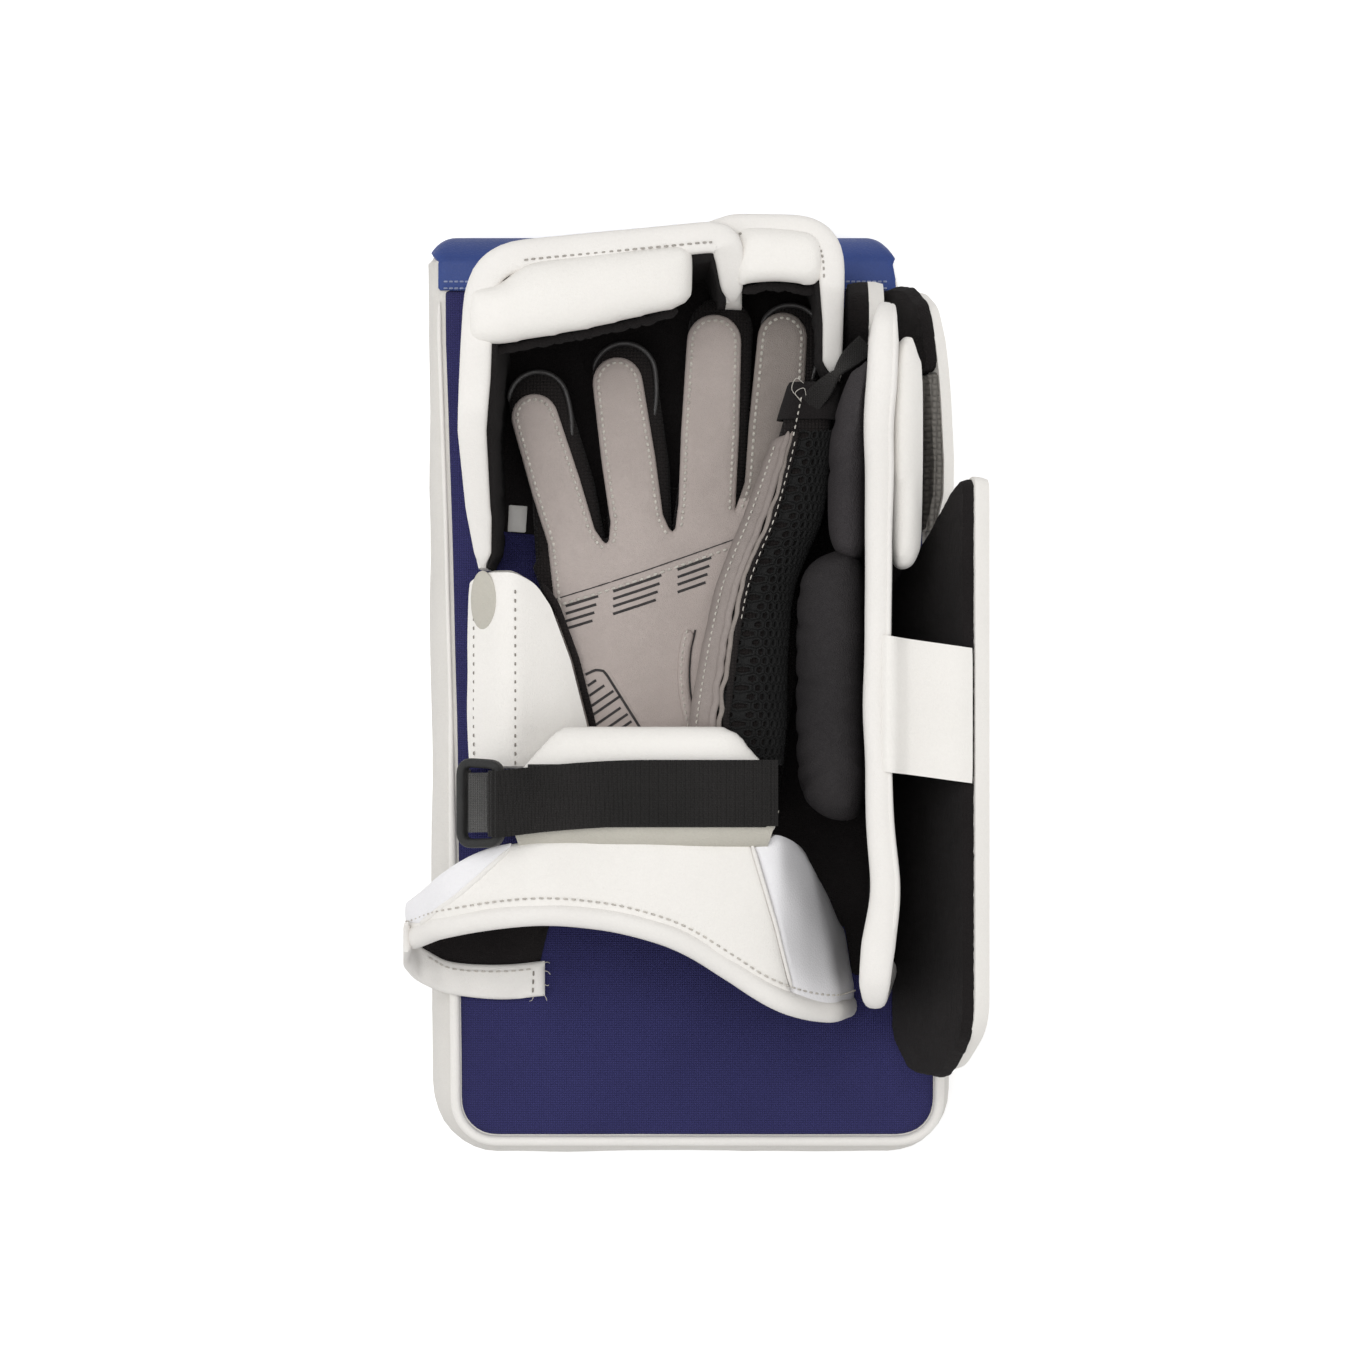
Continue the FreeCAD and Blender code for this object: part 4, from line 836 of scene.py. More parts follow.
grip_lines = []
for first_x, last_x in ((-52.0, -37.5), (-32.5, -11.5), (-6.0, 9.0)):
    for drop in (4.6, 7.7, 10.8, 13.9):
        x = np.linspace(first_x, last_x - drop * 0.25, 6)
        grip_lines.append(np.column_stack([x, np.interp(x, *PALM_SEAM.T) - drop]))
print_and_shadow_lines("palm_grip_lines", grip_lines, palm_place, above_hide(0.0), 1.35)
# A thin dark line along the palm seam paints the shadow of the hide's folded edge.
print_and_shadow_lines("palm_seam_shadow_line", [PALM_SEAM - (0, 0.4)], palm_place, above_hide(0.0), 0.6)
fold_line = curve_through([(-1.2, 26.0), (-3.2, 16.0), (-3.4, 2.0), (-0.4, -15.0)], 40)
fold_spine = palm_place(*fold_line.T, above_hide(0.2)(fold_line))
rolled_edge("palm_fold", fold_spine, *edge_frame(fold_spine), 2.4, 1.5, grey_leather, "board", sides=12)
# A thin dark line along the fold's right edge paints the fold's shadow.
print_and_shadow_lines("palm_fold_shadow_line", [fold_line + (2.5, 0)], palm_place, above_hide(0.4), 0.9)
stitches("palm_fold_thread", fold_line - (0.9, 0), palm_place, above_hide(1.6), pale_thread, "board",
         share=0.66, width=0.4)
PATCH = ((-46.0, 9.0), (-39.0, 11.5), (-34.5, 10.5), (-18.0, -17.0), (-47.5, -17.0))
panel("palm_patch_hide", PATCH, flat_at(PATCH_Z), 0.9, grey_leather, "board", ("palm_patch",), step=1.6,
      puff=0.15)
BARS = ((-42.9, 3.0, 3.4), (-42.3, -1.1, 6.2), (-41.7, -5.5, 9.3), (-41.3, -9.3, 11.6), (-40.6, -13.7, 11.2),
        (-35.1, -14.5, 8.6), (-29.9, -15.0, 5.0))
patch_lines = [[(-43.9, 7.6), (-39.9, 9.5), (-36.7, 9.3), (-35.1, 7.5), (-20.3, -16.0)]]
patch_lines += [[(x, y), (x + reach, y + 0.69 * reach)] for x, y, reach in BARS]
print_and_shadow_lines("patch_grip_lines", patch_lines, flat_at(PATCH_Z), lambda run: 1.05, 1.25)

# Finger sleeves
# Black stretch knit tubes behind the grey faces, longer than them and a little wider on the thumb side.
# Each starts inside the glove.
SLEEVE_NODES = {"index_finger": "index_tip_sleeve"}
SLEEVE_SIDES = 30
SLEEVE_Z = 45.4
SLEEVE_HALF_Z = 9.3
SLEEVE_SHIFT = 3.2
SLEEVE_FROM = -16.0
SLEEVE_ROWS = 34
TIP_ROWS = 10
TRIM_Z = 51.0
trim_finish = make_leather("trim_finish", (0.05, 0.047, 0.046), (0.03, 0.028, 0.028), 0.3, 900.0, 0.6,
                           0.0003, 0.5, "black_leather")
side_out, up_out = oval(round_turn(SLEEVE_SIDES), 0.75)
for name, finger in FINGERS.items():
    reach = finger.length + finger.cap
    half = finger.width / 2 + 0.9
    tip_starts = reach - half
    rings = []
    tip_stops = tip_starts + half * np.sin(np.linspace(0.1, 1.57, TIP_ROWS))
    for along in (*np.linspace(SLEEVE_FROM, tip_starts, SLEEVE_ROWS), *tip_stops):
        close = math.sqrt(max(0.0004, 1 - max(0.0, (along - tip_starts) / half) ** 2))
        across = half * close * side_out
        if name == "little_finger":
            across = np.where(across < 0, across * (1 + 0.5 * min(1.0, max(0.0, 1 - along / 45))), across)
        across = across + SLEEVE_SHIFT * min(1.0, max(0.0, along / 30))
        rib = 0.25 * math.sin(along * 4.2) * (along > finger.length - 14)
        z = SLEEVE_Z + (SLEEVE_HALF_Z * close ** 0.7 + rib) * up_out
        rings.append(in_columns(*on_finger(name, across, along), z))
    sleeve = np.vstack(rings)
    sleeve[:, 2] += wander(sleeve, 12.0, 0.8)
    piece(name + "_knit", sleeve, tube_faces(len(rings), SLEEVE_SIDES), black_knit, knuckle(name, 2.0),
          (SLEEVE_NODES.get(name, name + "_sleeve"),))
    if name != "middle_finger":
        arc = np.radians(np.linspace(-70, 165, 40))
        across = SLEEVE_SHIFT + half * 0.97 * np.cos(arc)
        along = tip_starts + half * 0.97 * np.sin(arc) * np.where(arc > 0, 1, 2.2)
        rim = in_columns(*on_finger(name, across, along), TRIM_Z)
        rolled_edge(name + "_trim", rim, *edge_frame(rim), 1.1, 1.5, trim_finish, knuckle(name, 2.0), sides=8)

# Thumb
# A sheath that crosses the palm: a folded strip of grey hide on the finger side, thick air mesh on the
# other, a black tab round its tip, and an elastic loop that ties the tip to the thumb guard.
THUMB_STATIONS = ((-32.0, 17.0, 38.5, 25.0), (-12.0, 19.0, 38.0, 25.0), (14.0, 21.5, 34.0, 25.0),
                  (40.0, 25.5, 30.5, 25.0), (56.0, 31.0, 30.5, 25.0), (72.0, 37.5, 30.5, 25.0),
                  (98.0, 44.0, 24.5, 21.0), (121.0, 48.7, 21.0, 17.0), (127.0, 49.2, 20.5, 15.5))
THUMB_MIDDLE_Z = 70.2
THUMB_SIDES = 48
STRIP_ANGLE = 110.0
MESH_PITCH = 4.2
MESH_SPAN = 52.0
MESH_SECTION = ((0.58, -0.2), (0.48, 0.5), (0.36, 0.3), (0.31, -1.4))
TAB_SECTION = ((111.0, -0.6), (111.2, 1.3), (116.0, 1.2), (121.0, 0.8), (124.8, 0.4), (126.4, -0.6),
               (126.2, -3.0), (125.2, -6.0))
FRAY_STEPS = 14
FRAY_SIDES = 6
FRAY_RADIUS = 0.15
thumb_curve = curve_through(THUMB_STATIONS, 120)


def on_thumb(turn, y, w):
    """Place on the thumb's sheath: turn in degrees from its right side over the top, y along it, w out."""
    x0, wide, deep = [np.interp(y, thumb_curve[:, 0], thumb_curve[:, i]) for i in (1, 2, 3)]
    across, up = oval(np.radians(turn), 0.62)
    return in_columns(x0 + (wide / 2 + w) * across, y, THUMB_MIDDLE_Z + (deep / 2 + w) * up)


thumb_y = np.linspace(-29, 123, 76)
turns = np.linspace(0, 360, THUMB_SIDES, endpoint=False)
lining_rows = [on_thumb(turns, y, -1.5) for y in thumb_y[::-1]] + [on_thumb(turns, y, -3.0) for y in thumb_y]
piece("thumb_knit", np.vstack(lining_rows), tube_faces(len(lining_rows), THUMB_SIDES), black_knit, "thumb")
black_mesh = make_cloth("black_mesh", (0.014, 0.014, 0.014), (0.009, 0.009, 0.009), 0.5, 1800.0, 0.0002, 0.22)
corner_turns = np.radians(np.arange(0, 360, 60) + 30)
cells = []
for row, y in enumerate(np.arange(-27.0, 106.0, MESH_PITCH * 0.87)):
    for column in np.arange(0, MESH_SPAN, MESH_PITCH):
        middle = column + (MESH_PITCH / 2 if row % 2 else 0)
        rings = []
        for size, w in MESH_SECTION:
            span = middle + np.cos(corner_turns) * size * MESH_PITCH
            turn = STRIP_ANGLE + 4 - span / MESH_SPAN * (STRIP_ANGLE + 34)
            rings.append(on_thumb(turn, y + np.sin(corner_turns) * size * MESH_PITCH, w))
        cells.append(np.vstack(rings))
joined("thumb_air_mesh", cells, [rows_of_faces(len(MESH_SECTION), 6)] * len(cells), black_mesh, "thumb",
       ("thumb_mesh",))


def thumb_strip_place(u, v, w):
    return on_thumb(STRIP_ANGLE + u * 4.4, v, w - 0.4)


thumb_leather = make_leather("thumb_leather", (0.325, 0.281, 0.261), (0.268, 0.23, 0.213), 0.6, 1500.0, 1.2,
                             0.0005, 0.35, "grey_leather")
strip_outline = [(0.0, -24.0), (27.0, -24.0), (27.0, 60.0), (25.0, 101.0), (0.0, 105.0)]
panel("thumb_strip_hide", strip_outline, thumb_strip_place, 1.6, thumb_leather, "thumb", ("thumb_strip",),
      step=1.8, dents=0.5)
WELTS = ((2.0, 0.9, 1.1, 1.5, thumb_leather), (-6.0, 1.2, 0.6, 1.1, dark_grey_leather),
         (-13.0, 0.5, 0.5, 1.3, black_knit))
edge_y = np.linspace(-23.5, 106.0, 90)
for count, (turn, wave, lift, fat, finish) in enumerate(WELTS):
    turned = STRIP_ANGLE + turn + wander(in_columns(edge_y, count * 9, 0), 6.0, wave * 3.5)
    spine = on_thumb(turned, edge_y, lift)
    side = unit(on_thumb(turned - 3, edge_y, lift) - spine)
    rise = unit(np.cross(side, unit(np.gradient(spine, axis=0))))
    rolled_edge(f"thumb_welt_{count}", spine, side, rise, fat, fat * 0.7, finish, "thumb", sides=10)
for name, line, lift, pitch, width in (
        ("thumb_strip_thread", [(6.5, -20.0), (6.5, 60.0), (6.0, 101.0)], 2.2, 2.5, 0.42),
        ("thumb_mesh_thread", [(-3.4, 30.0), (-3.2, 103.0)], 2.2, 3.0, 0.22),
        ("thumb_tab_thread", [(-2.4, 104.0), (-2.2, 121.0)], 2.7, 2.6, 0.3)):
    stitches(name, line, thumb_strip_place, lift, pale_thread, "thumb", pitch, 0.6, width)


def fray(name, threads, finish, carrier):
    """Loose ends of thread: thin bent tubes, each through its own points."""
    around = round_turn(FRAY_SIDES)[None, :, None]
    clouds = []
    for way in threads:
        spine = curve_through(way, FRAY_STEPS)
        side, rise = edge_frame(spine, (0.3, 0.2, 1.0))
        round_it = side[:, None] * np.cos(around) + rise[:, None] * np.sin(around)
        clouds.append((spine[:, None] + FRAY_RADIUS * round_it).reshape(-1, 3))
    return joined(name, clouds, [tube_faces(FRAY_STEPS, FRAY_SIDES)] * len(clouds), finish, carrier)


fray("thumb_tip_ends", [[(43.5, 119.0, 80.0), (40.2, 123.0, 81.0), (42.0, 127.5, 80.5), (45.0, 125.5, 80.5)],
                        [(44.0, 118.0, 80.3), (41.6, 121.5, 82.0), (45.0, 123.4, 82.2), (46.0, 120.5, 80.6)]],
     pale_thread, "thumb")


def make_fleece(name, pale, deep):
    """Brushed cloth: short fibres that lie every way, with worn and matted places, and painted shade where
    the fibres lie low.
    """
    made, tree, shader = new_finish(name, pale, deep, 45.0, 0.95, Sheen_Weight=0.05, Sheen_Roughness=0.6,
                                    Specular_IOR_Level=0.08)
    fibre = drift(tree, 1500.0, 3.0, Roughness=0.7)
    raise_bump(tree, shader, sums(tree, "ADD", fibre, drift(tree, 160.0, 2.0)), 0.0012)
    base = shader.inputs["Base Color"].links[0].from_socket
    # Painted shade: the colour is mixed towards a darker tone where the fibres lie low.
    tree.links.new(mixed(tree, fibre, (*[c * 0.5 for c in deep], 1), base), shader.inputs["Base Color"])
    return made


black_lining = make_fleece("black_lining", (0.026, 0.022, 0.022), (0.016, 0.013, 0.013))
tab_rows = [on_thumb(turns, y, w) for y, w in TAB_SECTION]
piece("thumb_tab", np.vstack(tab_rows), tube_faces(len(tab_rows), THUMB_SIDES, first=False), black_lining,
      "thumb", ("thumb_tip_tab",))


def ribbon(name, path, width_way, wide, thick, finish, carrier, nodes=(), columns=9, ribs=0.0, pitch=1.8,
           step=0.5):
    """Flat band along a path, with ribs across it and softened edges; width_way is its direction across."""
    spine = spaced(path, step, False)
    count = len(spine)
    ways = np.array([np.interp(np.linspace(0, 1, count), np.linspace(0, 1, len(width_way)), axis)
                     for axis in np.asarray(width_way, float).T]).T
    ahead = unit(np.gradient(spine, axis=0))
    across = unit(ways - ahead * (ways * ahead).sum(1)[:, None])
    up = np.cross(ahead, across)
    share = np.linspace(-1, 1, columns)
    full = thick / 2 * (1 - 0.45 * np.abs(share) ** 8)
    ridge = ribs * np.cos(2 * math.pi * np.arange(count) * step / pitch)
    top = spine[:, None] + across[:, None] * (share * wide / 2)[None, :, None]
    grow = up[:, None] * (full[None, :, None] + ridge[:, None, None])
    loop = np.concatenate([top + grow, (top - grow)[:, ::-1]], axis=1)
    return piece(name, loop.reshape(-1, 3), tube_faces(count, 2 * columns), finish, carrier, nodes)


webbing = make_cloth("black_webbing", (0.03, 0.027, 0.026), (0.018, 0.017, 0.016), 0.55, 1400.0, 0.0004, 0.22)
loop_path = curve_through([(47.0, 117.0, 79.6), (52.0, 122.0, 80.2), (58.0, 129.0, 82.5), (64.0, 135.5, 82.0),
                           (70.5, 141.5, 80.0)], 40)
loop_twist = [(1, -0.8, 0), (0.8, -0.6, 0.6), (0.3, -0.3, 1.2), (0.8, -0.6, 0.5), (1, -0.8, 0)]
ribbon("thumb_loop_band", loop_path, loop_twist, 9.0, 1.3, webbing, "thumb", ("thumb_loop",), ribs=0.08,
       pitch=1.2)

# Finger guards
# Two padded walls bent round the fingertips: white leather outside, foam, black brushed cloth inside, and
# a rolled white binding sewn over the top edge.


def rounded_run(points, radius, step):
    """Line through points with its corners rounded, at an even step."""
    points = np.asarray(points, float)
    run = [points[0]]
    for before, corner, after in zip(points, points[1:], points[2:]):
        back, ahead = before - corner, after - corner
        far_back, far_ahead = np.linalg.norm(back), np.linalg.norm(ahead)
        turn = math.pi - math.acos(np.clip(back @ ahead / far_back / far_ahead, -1, 1))
        reach = min(radius * math.tan(turn / 2), 0.48 * far_back, 0.48 * far_ahead)
        first, last = corner + back / far_back * reach, corner + ahead / far_ahead * reach
        run += [(1 - t) ** 2 * first + 2 * t * (1 - t) * corner + t * t * last for t in np.linspace(0, 1, 9)]
    run.append(points[-1])
    return spaced(run, step, False)


def standing_on(run):
    """Surface that stands on a plan: u along the run, v up, w out to its left."""
    stops, left = stops_along(run), left_of(run)

    def place(u, v, w):
        x, y = (np.interp(u, stops, run[:, i]) + np.interp(u, stops, left[:, i]) * w for i in (0, 1))
        return in_columns(x, y, v)
    return place


def outward(place, u, v):
    """Step from a surface to one unit above it."""
    return place(u, v, 1.0) - place(u, v, 0.0)


def carried_profile(name, place, u, rows, finish, carrier, nodes=(), swell=0.0, size=20.0):
    """Closed piece with a section that is carried along u; each row gives w and v for every u."""
    cloud = np.stack([place(u, v, w) for w, v in rows], axis=1).reshape(-1, 3)
    out = np.stack([place(u, v, w + 1) for w, v in rows], axis=1).reshape(-1, 3) - cloud
    cloud = cloud + out * wander(cloud, size, swell)[:, None]
    return piece(name, cloud, tube_faces(len(u), len(rows)), finish, carrier, nodes)


grey_thread = thread_finish("grey_thread", (0.52, 0.485, 0.44))
GUARDS = {
    "finger_guard": ([(-89.8, 51.0), (-89.8, 178.2), (19.3, 188.7), (19.3, 158.0)],
                     26.0, 96.0, 62.0, 43.0, 0.3, 1.0),
    "index_guard": ([(-6.0, 184.0), (16.0, 191.6), (59.9, 191.0), (59.9, 129.0)],
                    22.0, 90.0, 34.0, 40.0, 0.5, 0.84),
}
for name, (corners, radius, top_z, taper, low_rise, thin, fullest) in GUARDS.items():
    run = rounded_run(corners, radius, 2.0)
    u = stops_along(run)
    stand = standing_on(run)
    if name == "finger_guard":
        foot, far_end = u, u[-1] - u
        belly = np.interp(run[:, 1], (51, 75, 105, 140, 165), (-3.0, 0.6, 3.0, 1.6, 0.0))
        bulge = np.where(run[:, 0] < -70, belly, 0.0)
        drop = 15.0 * (1 - ramp(far_end, 24.0)) ** 1.5
    else:
        foot, far_end = u[-1] - u, u + 99.0
        bulge = drop = 0 * u

    def place(a, v, w):
        return stand(a, v, w + np.interp(a, u, bulge))

    rise = ramp(foot, taper) ** 0.8
    top = BACK_Z + low_rise + (top_z - BACK_Z - low_rise) * rise - drop
    thick = np.interp(foot, (0.0, 6.0, 20.0, 1.2 * taper), (thin, thin + 0.25, 0.78, 1.0))
    thick = thick * (0.6 + 0.4 * ramp(far_end, 20.0)) * fullest
    low_z, third_z, half_z, high_z = [BACK_Z + (top - BACK_Z) * share for share in (0.0, 0.3, 0.5, 0.6)]
    cover_rows = [(0.0, low_z), (0.9, third_z), (1.1, high_z), (0.6, top - 5), (-0.4 * thick, top - 1.4),
                  (-2.6 * thick, top), (-9.0 * thick, top), (-10.0 * thick, top - 2), (-10.2 * thick, half_z),
                  (-10.2 * thick, low_z)]
    carried_profile(name + "_leather", place, u, cover_rows, white_leather, "board",
                    (name + "_cover", name + "_foam"), swell=0.8)
    lining_rows = [(-9.6 * thick, low_z), (-9.6 * thick, top - 1), (-11.0 * thick, top + 0.8),
                   (-12.6 * thick, top + 0.2), (-13.6 * thick, top - 4), (-14.6 * thick, half_z),
                   (-15.6 * thick, low_z)]
    carried_profile(name + "_cloth", place, u, lining_rows, black_lining, "board", (name + "_lining",),
                    swell=1.2, size=5.0)
    spine = place(u, top + 0.9, -4.9 * thick)
    spine[:, 2] += wander(spine, 24.0, 0.9)
    rolled_edge(name + "_band", spine, unit(outward(place, u, top)), UP, 6.3 * thick, 2.9, white_binding,
                "board", (name + "_binding",), square=3.0)
    sewn = (run[:, 0] > -70) & (run[:, 1] > 165) & (far_end > 34.0)
    stitches(name + "_thread", np.column_stack([u[sewn], top[sewn]]), lambda a, b, w: place(a, b + w, -7.2),
             3.9, grey_thread, "board", pitch=3.0, share=0.62, width=0.42)

# Rolls
# Two stuffed white leather rolls sewn along the inside of the guards' top edge, over the fingertips.
# A strip of the black lining shows as a rough lip under their lower edges.
SWELL_FRAMES = 20
CLOTH_MASS = 0.15
CLOTH_STIFFNESS = 12
CLOTH_PRESSURE = 4.0
CLOTH_QUALITY = 5
SMOOTH_ROUNDS = 9


def stuffed(name, outline, place, thick, finish, carrier, nodes, step=2.2, flat_share=0.5, edge=None,
            voxel=0.0026, most=2.5, lid=None):
    """Padded cushion from a flat cut, inflated as cloth, with its movement capped."""
    spots, triangles, depth = cut_panel(outline, step)
    edge = edge or thick * 0.6
    dome = np.sqrt(np.clip(1 - (1 - ramp(depth, edge)) ** 2, 0, 1))
    made = skin(name, spots, triangles, thick * (flat_share + (1 - flat_share) * dome),
                thick * flat_share * (1 - dome * 0.95), place, finish, None, nodes)
    swell_cloth(made, voxel, most, lid)
    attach(made, carrier)
    return made


def vertex_places(made):
    return np.array([v.co for v in made.data.vertices])


def swell_cloth(made, voxel, most, lid):
    """Remeshes a pad evenly, inflates it as cloth, caps the movement and smooths it once."""
    remesh = made.modifiers.new("even", "REMESH")
    remesh.mode = "VOXEL"
    remesh.voxel_size = voxel
    bake_shape(made)
    rest = vertex_places(made)
    cloth = made.modifiers.new("cloth", "CLOTH").settings
    cloth.quality = CLOTH_QUALITY
    cloth.mass = CLOTH_MASS
    cloth.tension_stiffness = CLOTH_STIFFNESS
    cloth.compression_stiffness = CLOTH_STIFFNESS
    cloth.use_pressure = True
    cloth.uniform_pressure_force = CLOTH_PRESSURE
    cloth.effector_weights.gravity = 0
    scene = bpy.context.scene
    for step in range(1, SWELL_FRAMES + 1):
        scene.frame_set(step)
    bake_shape(made)
    scene.frame_set(1)
    moved = vertex_places(made) - rest
    scale = np.minimum(1, most * MM / np.maximum(np.linalg.norm(moved, axis=1), 1e-9))
    shape = rest + moved * scale[:, None]
    if lid:
        shape[:, 2] = np.minimum(shape[:, 2], lid * MM)
    made.data.vertices.foreach_set("co", shape.ravel())
    made.modifiers.new("smooth", "SMOOTH").iterations = SMOOTH_ROUNDS
    made.modifiers.new("finer", "SUBSURF").levels = 1
    bake_shape(made)


def bake_shape(made):
    """Puts what the modifiers make into the mesh itself."""
    finish = made.data.materials[0]
    ready = made.evaluated_get(bpy.context.evaluated_depsgraph_get())
    mesh = bpy.data.meshes.new_from_object(ready)
    made.modifiers.clear()
    made.data = mesh
    if not mesh.materials:
        mesh.materials.append(finish)
    mesh.polygons.foreach_set("use_smooth", [True] * len(mesh.polygons))


FINGER_ROLL = [(-90.5, 140.0), (-78.5, 138.5), (-40.0, 145.5), (-5.0, 154.0), (0.0, 157.0), (0.8, 177.0),
               (-3.0, 180.5), (-40.0, 177.0), (-66.0, 174.0), (-79.5, 164.5), (-90.5, 163.0)]
INDEX_ROLL = [(17.0, 163.0), (33.0, 165.0), (49.0, 163.0), (53.5, 167.0), (54.0, 180.0), (49.0, 187.0),
              (17.0, 189.0)]
FINGER_LIP = [(-82.0, 139.2), (-78.5, 138.2), (-40.0, 145.0), (-6.0, 153.4)]
INDEX_LIP = [(20.0, 162.2), (33.0, 164.6), (48.0, 162.6), (52.5, 165.5), (54.0, 171.0)]
for name, outline, floor_z, thick in (("finger", FINGER_ROLL, 89.0, 14.5), ("index", INDEX_ROLL, 83.6, 13.5)):
    stuffed(name + "_roll", outline, flat_at(floor_z), thick, white_leather, "board", (name + "_guard_roll",))
for name, near_edge, lip_z in (("finger", FINGER_LIP, 90.0), ("index", INDEX_LIP, 84.0)):
    lip = in_columns(*spaced(curve_through(near_edge, 60), 1.0, False).T, lip_z)
    lip += np.column_stack([wander(lip + k * 31.0, 2.4, 1.1) for k in range(3)])
    rolled_edge(name + "_roll_lip", lip, *edge_frame(lip), 2.0, 2.6, black_lining, "board", sides=8)

# Base cloth
# Black brushed cloth glued to the board under the fingers and along the thumb side, so no nylon shows there;
# between the fingers its black also paints the shade that falls there.
# A short end of white binding tape sticks out beside the little finger.
BASE = [(-84.0, 68.0), (-84.0, 150.0), (-66.0, 168.0), (8.0, 176.0), (50.0, 178.0), (56.0, 162.0),
        (75.5, 160.0), (75.5, -118.0), (67.0, -118.0), (64.0, -98.0), (40.0, -88.0), (30.0, -80.0),
        (30.0, 50.0), (-60.0, 60.0), (-64.0, 66.0)]
TAPE = [(-77.0, 67.5), (-69.5, 67.0), (-68.8, 78.0), (-76.5, 78.6)]
panel("base_cloth", BASE, flat_at(BACK_Z + 0.3), 1.0, black_lining, "board", step=3.5, puff=0.4, dents=0.5)
panel("tape_end", TAPE, flat_at(BACK_Z + 1.9), 1.0, white_binding, "board", step=1.4, puff=0.2)

# Heel panel
# A padded flap of white leather that bends over the outer edge of the hand and is sewn to the board.
# Two rows of stitching hold its foam, and a scrap of thin hide is folded over its far end.
HEEL_THICK = 6.0
HEEL_EDGE = np.array([(-39.0, -30.5), (-42.5, -12.0), (-49.0, 14.0), (-57.0, 36.0), (-63.0, 45.0),
                      (-72.0, 50.0), (-84.0, 50.0), (-91.0, 46.0)])


def rounded_plan(points, radius, step=2.0):
    """Closed outline with its corners rounded."""
    middle = (np.array(points[-1], float) + np.array(points[0], float)) / 2
    return rounded_run([middle, *points, middle], radius, step)[:-1]


def arched(run, sunk=0.0):
    """Surface bent over a run across the board: u along the run, v along y, w out to its right."""
    stops, left = stops_along(run), left_of(run)

    def place(u, v, w):
        x, z = (np.interp(u, stops, run[:, i]) - np.interp(u, stops, left[:, i]) * (w - sunk) for i in (0, 1))
        return in_columns(x, v, z)
    return place


heel_run = rounded_run([(-39.0, 62.7), (-76.2, 78.0), (-91.3, 64.0), (-91.3, 30.0)], 12.0, 1.5)
heel_stops = stops_along(heel_run)
heel_end = heel_stops[-1]
heel_place = arched(heel_run, HEEL_THICK)


def heel_u(x):
    return np.interp(-x, -heel_run[:, 0], heel_stops)


heel_outline = [(heel_u(x), y) for x, y in HEEL_EDGE]
heel_outline += [(heel_end - 8.0, 40.0), (heel_end, 34.0), (heel_end, -30.5)]
panel("heel_flap", rounded_plan(heel_outline, 14.0), heel_place, HEEL_THICK, white_leather, "board",
      ("heel_panel",), step=2.2, puff=1.0, soft=7.0, dents=0.35)
# Dark thread for the heel's two rows: its colour paints the shade in the stitch holes on the white leather.
brown_thread_and_hole_shade = thread_finish("brown_thread_and_hole_shade", (0.36, 0.33, 0.29))
for count, x in enumerate((-72.0, -88.5)):
    stitches(f"heel_thread_{count}", [(heel_u(x), -29.0), (heel_u(x), 44.0)], heel_place, HEEL_THICK + 0.95,
             brown_thread_and_hole_shade, "board", pitch=3.4, share=0.45, width=0.38)
# Beige leather: the heel tab's own colour, and painted shade on the wrist pad's sloping near face.
beige_leather_and_shade = make_leather("beige_leather_and_shade", (0.54, 0.515, 0.45), (0.475, 0.452, 0.395), 0.6, 900.0, 0.7,
                             0.0004, slot="white_leather")
tab_outline = [(heel_u(-84.8) + 7.2 * math.sin(a), 38.0 + 12.0 * math.cos(a)) for a in round_turn(24)]
panel("heel_tab", tab_outline, arched(heel_run, -0.6), 0.8, beige_leather_and_shade, "board", step=1.6, puff=0.4)
hem_v = np.linspace(-30.0, 45.0, 46)
hem_x = np.interp(hem_v, *HEEL_EDGE[:5, ::-1].T) + 1.6
hem_spine = heel_place(heel_u(hem_x), hem_v, 1.0) + (1.6, 0, -1.0)
rolled_edge("palm_binding", hem_spine, *edge_frame(hem_spine), 1.5, 1.2, black_knit, "board", sides=10)

# Wrist pad, strap and buckle
# A stuffed white leather pad over the wrist, with a strip of hook tape sewn on it. The webbing strap
# lies on the tape, and its other end is folded round the bar of a plastic loop held by a webbing anchor.
WRIST_FLOOR_Z = 84.4
WRIST_TOP_Z = 93.8
TAPE_Z = 93.9
STRAP_Y = -41.0
STRAP_WIDE = 26.5
BOW_SHIFT = 1.2
BOW_REACH = 4.2
BOW_START = 20.0
BOW_RUN = 57.0
BOW_POWER = 1.6
BAR_X = -77.0
BAR_Z = 99.228
FOLD_RADIUS = 4.03
SKIRT_STEPS = 60
SKIRT_ROWS = 12
STRAIGHT = ((0, 1, 0), (0, 1, 0))
WRIST_PAD = [(-72.5, -60.5), (-72.5, -33.5), (-54.5, -12.5), (16.5, -12.5), (34.5, -33.5), (34.5, -60.5)]
stuffed("wrist_cushion", rounded_plan(WRIST_PAD, 8.0), flat_at(WRIST_FLOOR_Z), 9.2, white_leather, "board",
        ("wrist_pad",), step=2.4, lid=WRIST_TOP_Z)
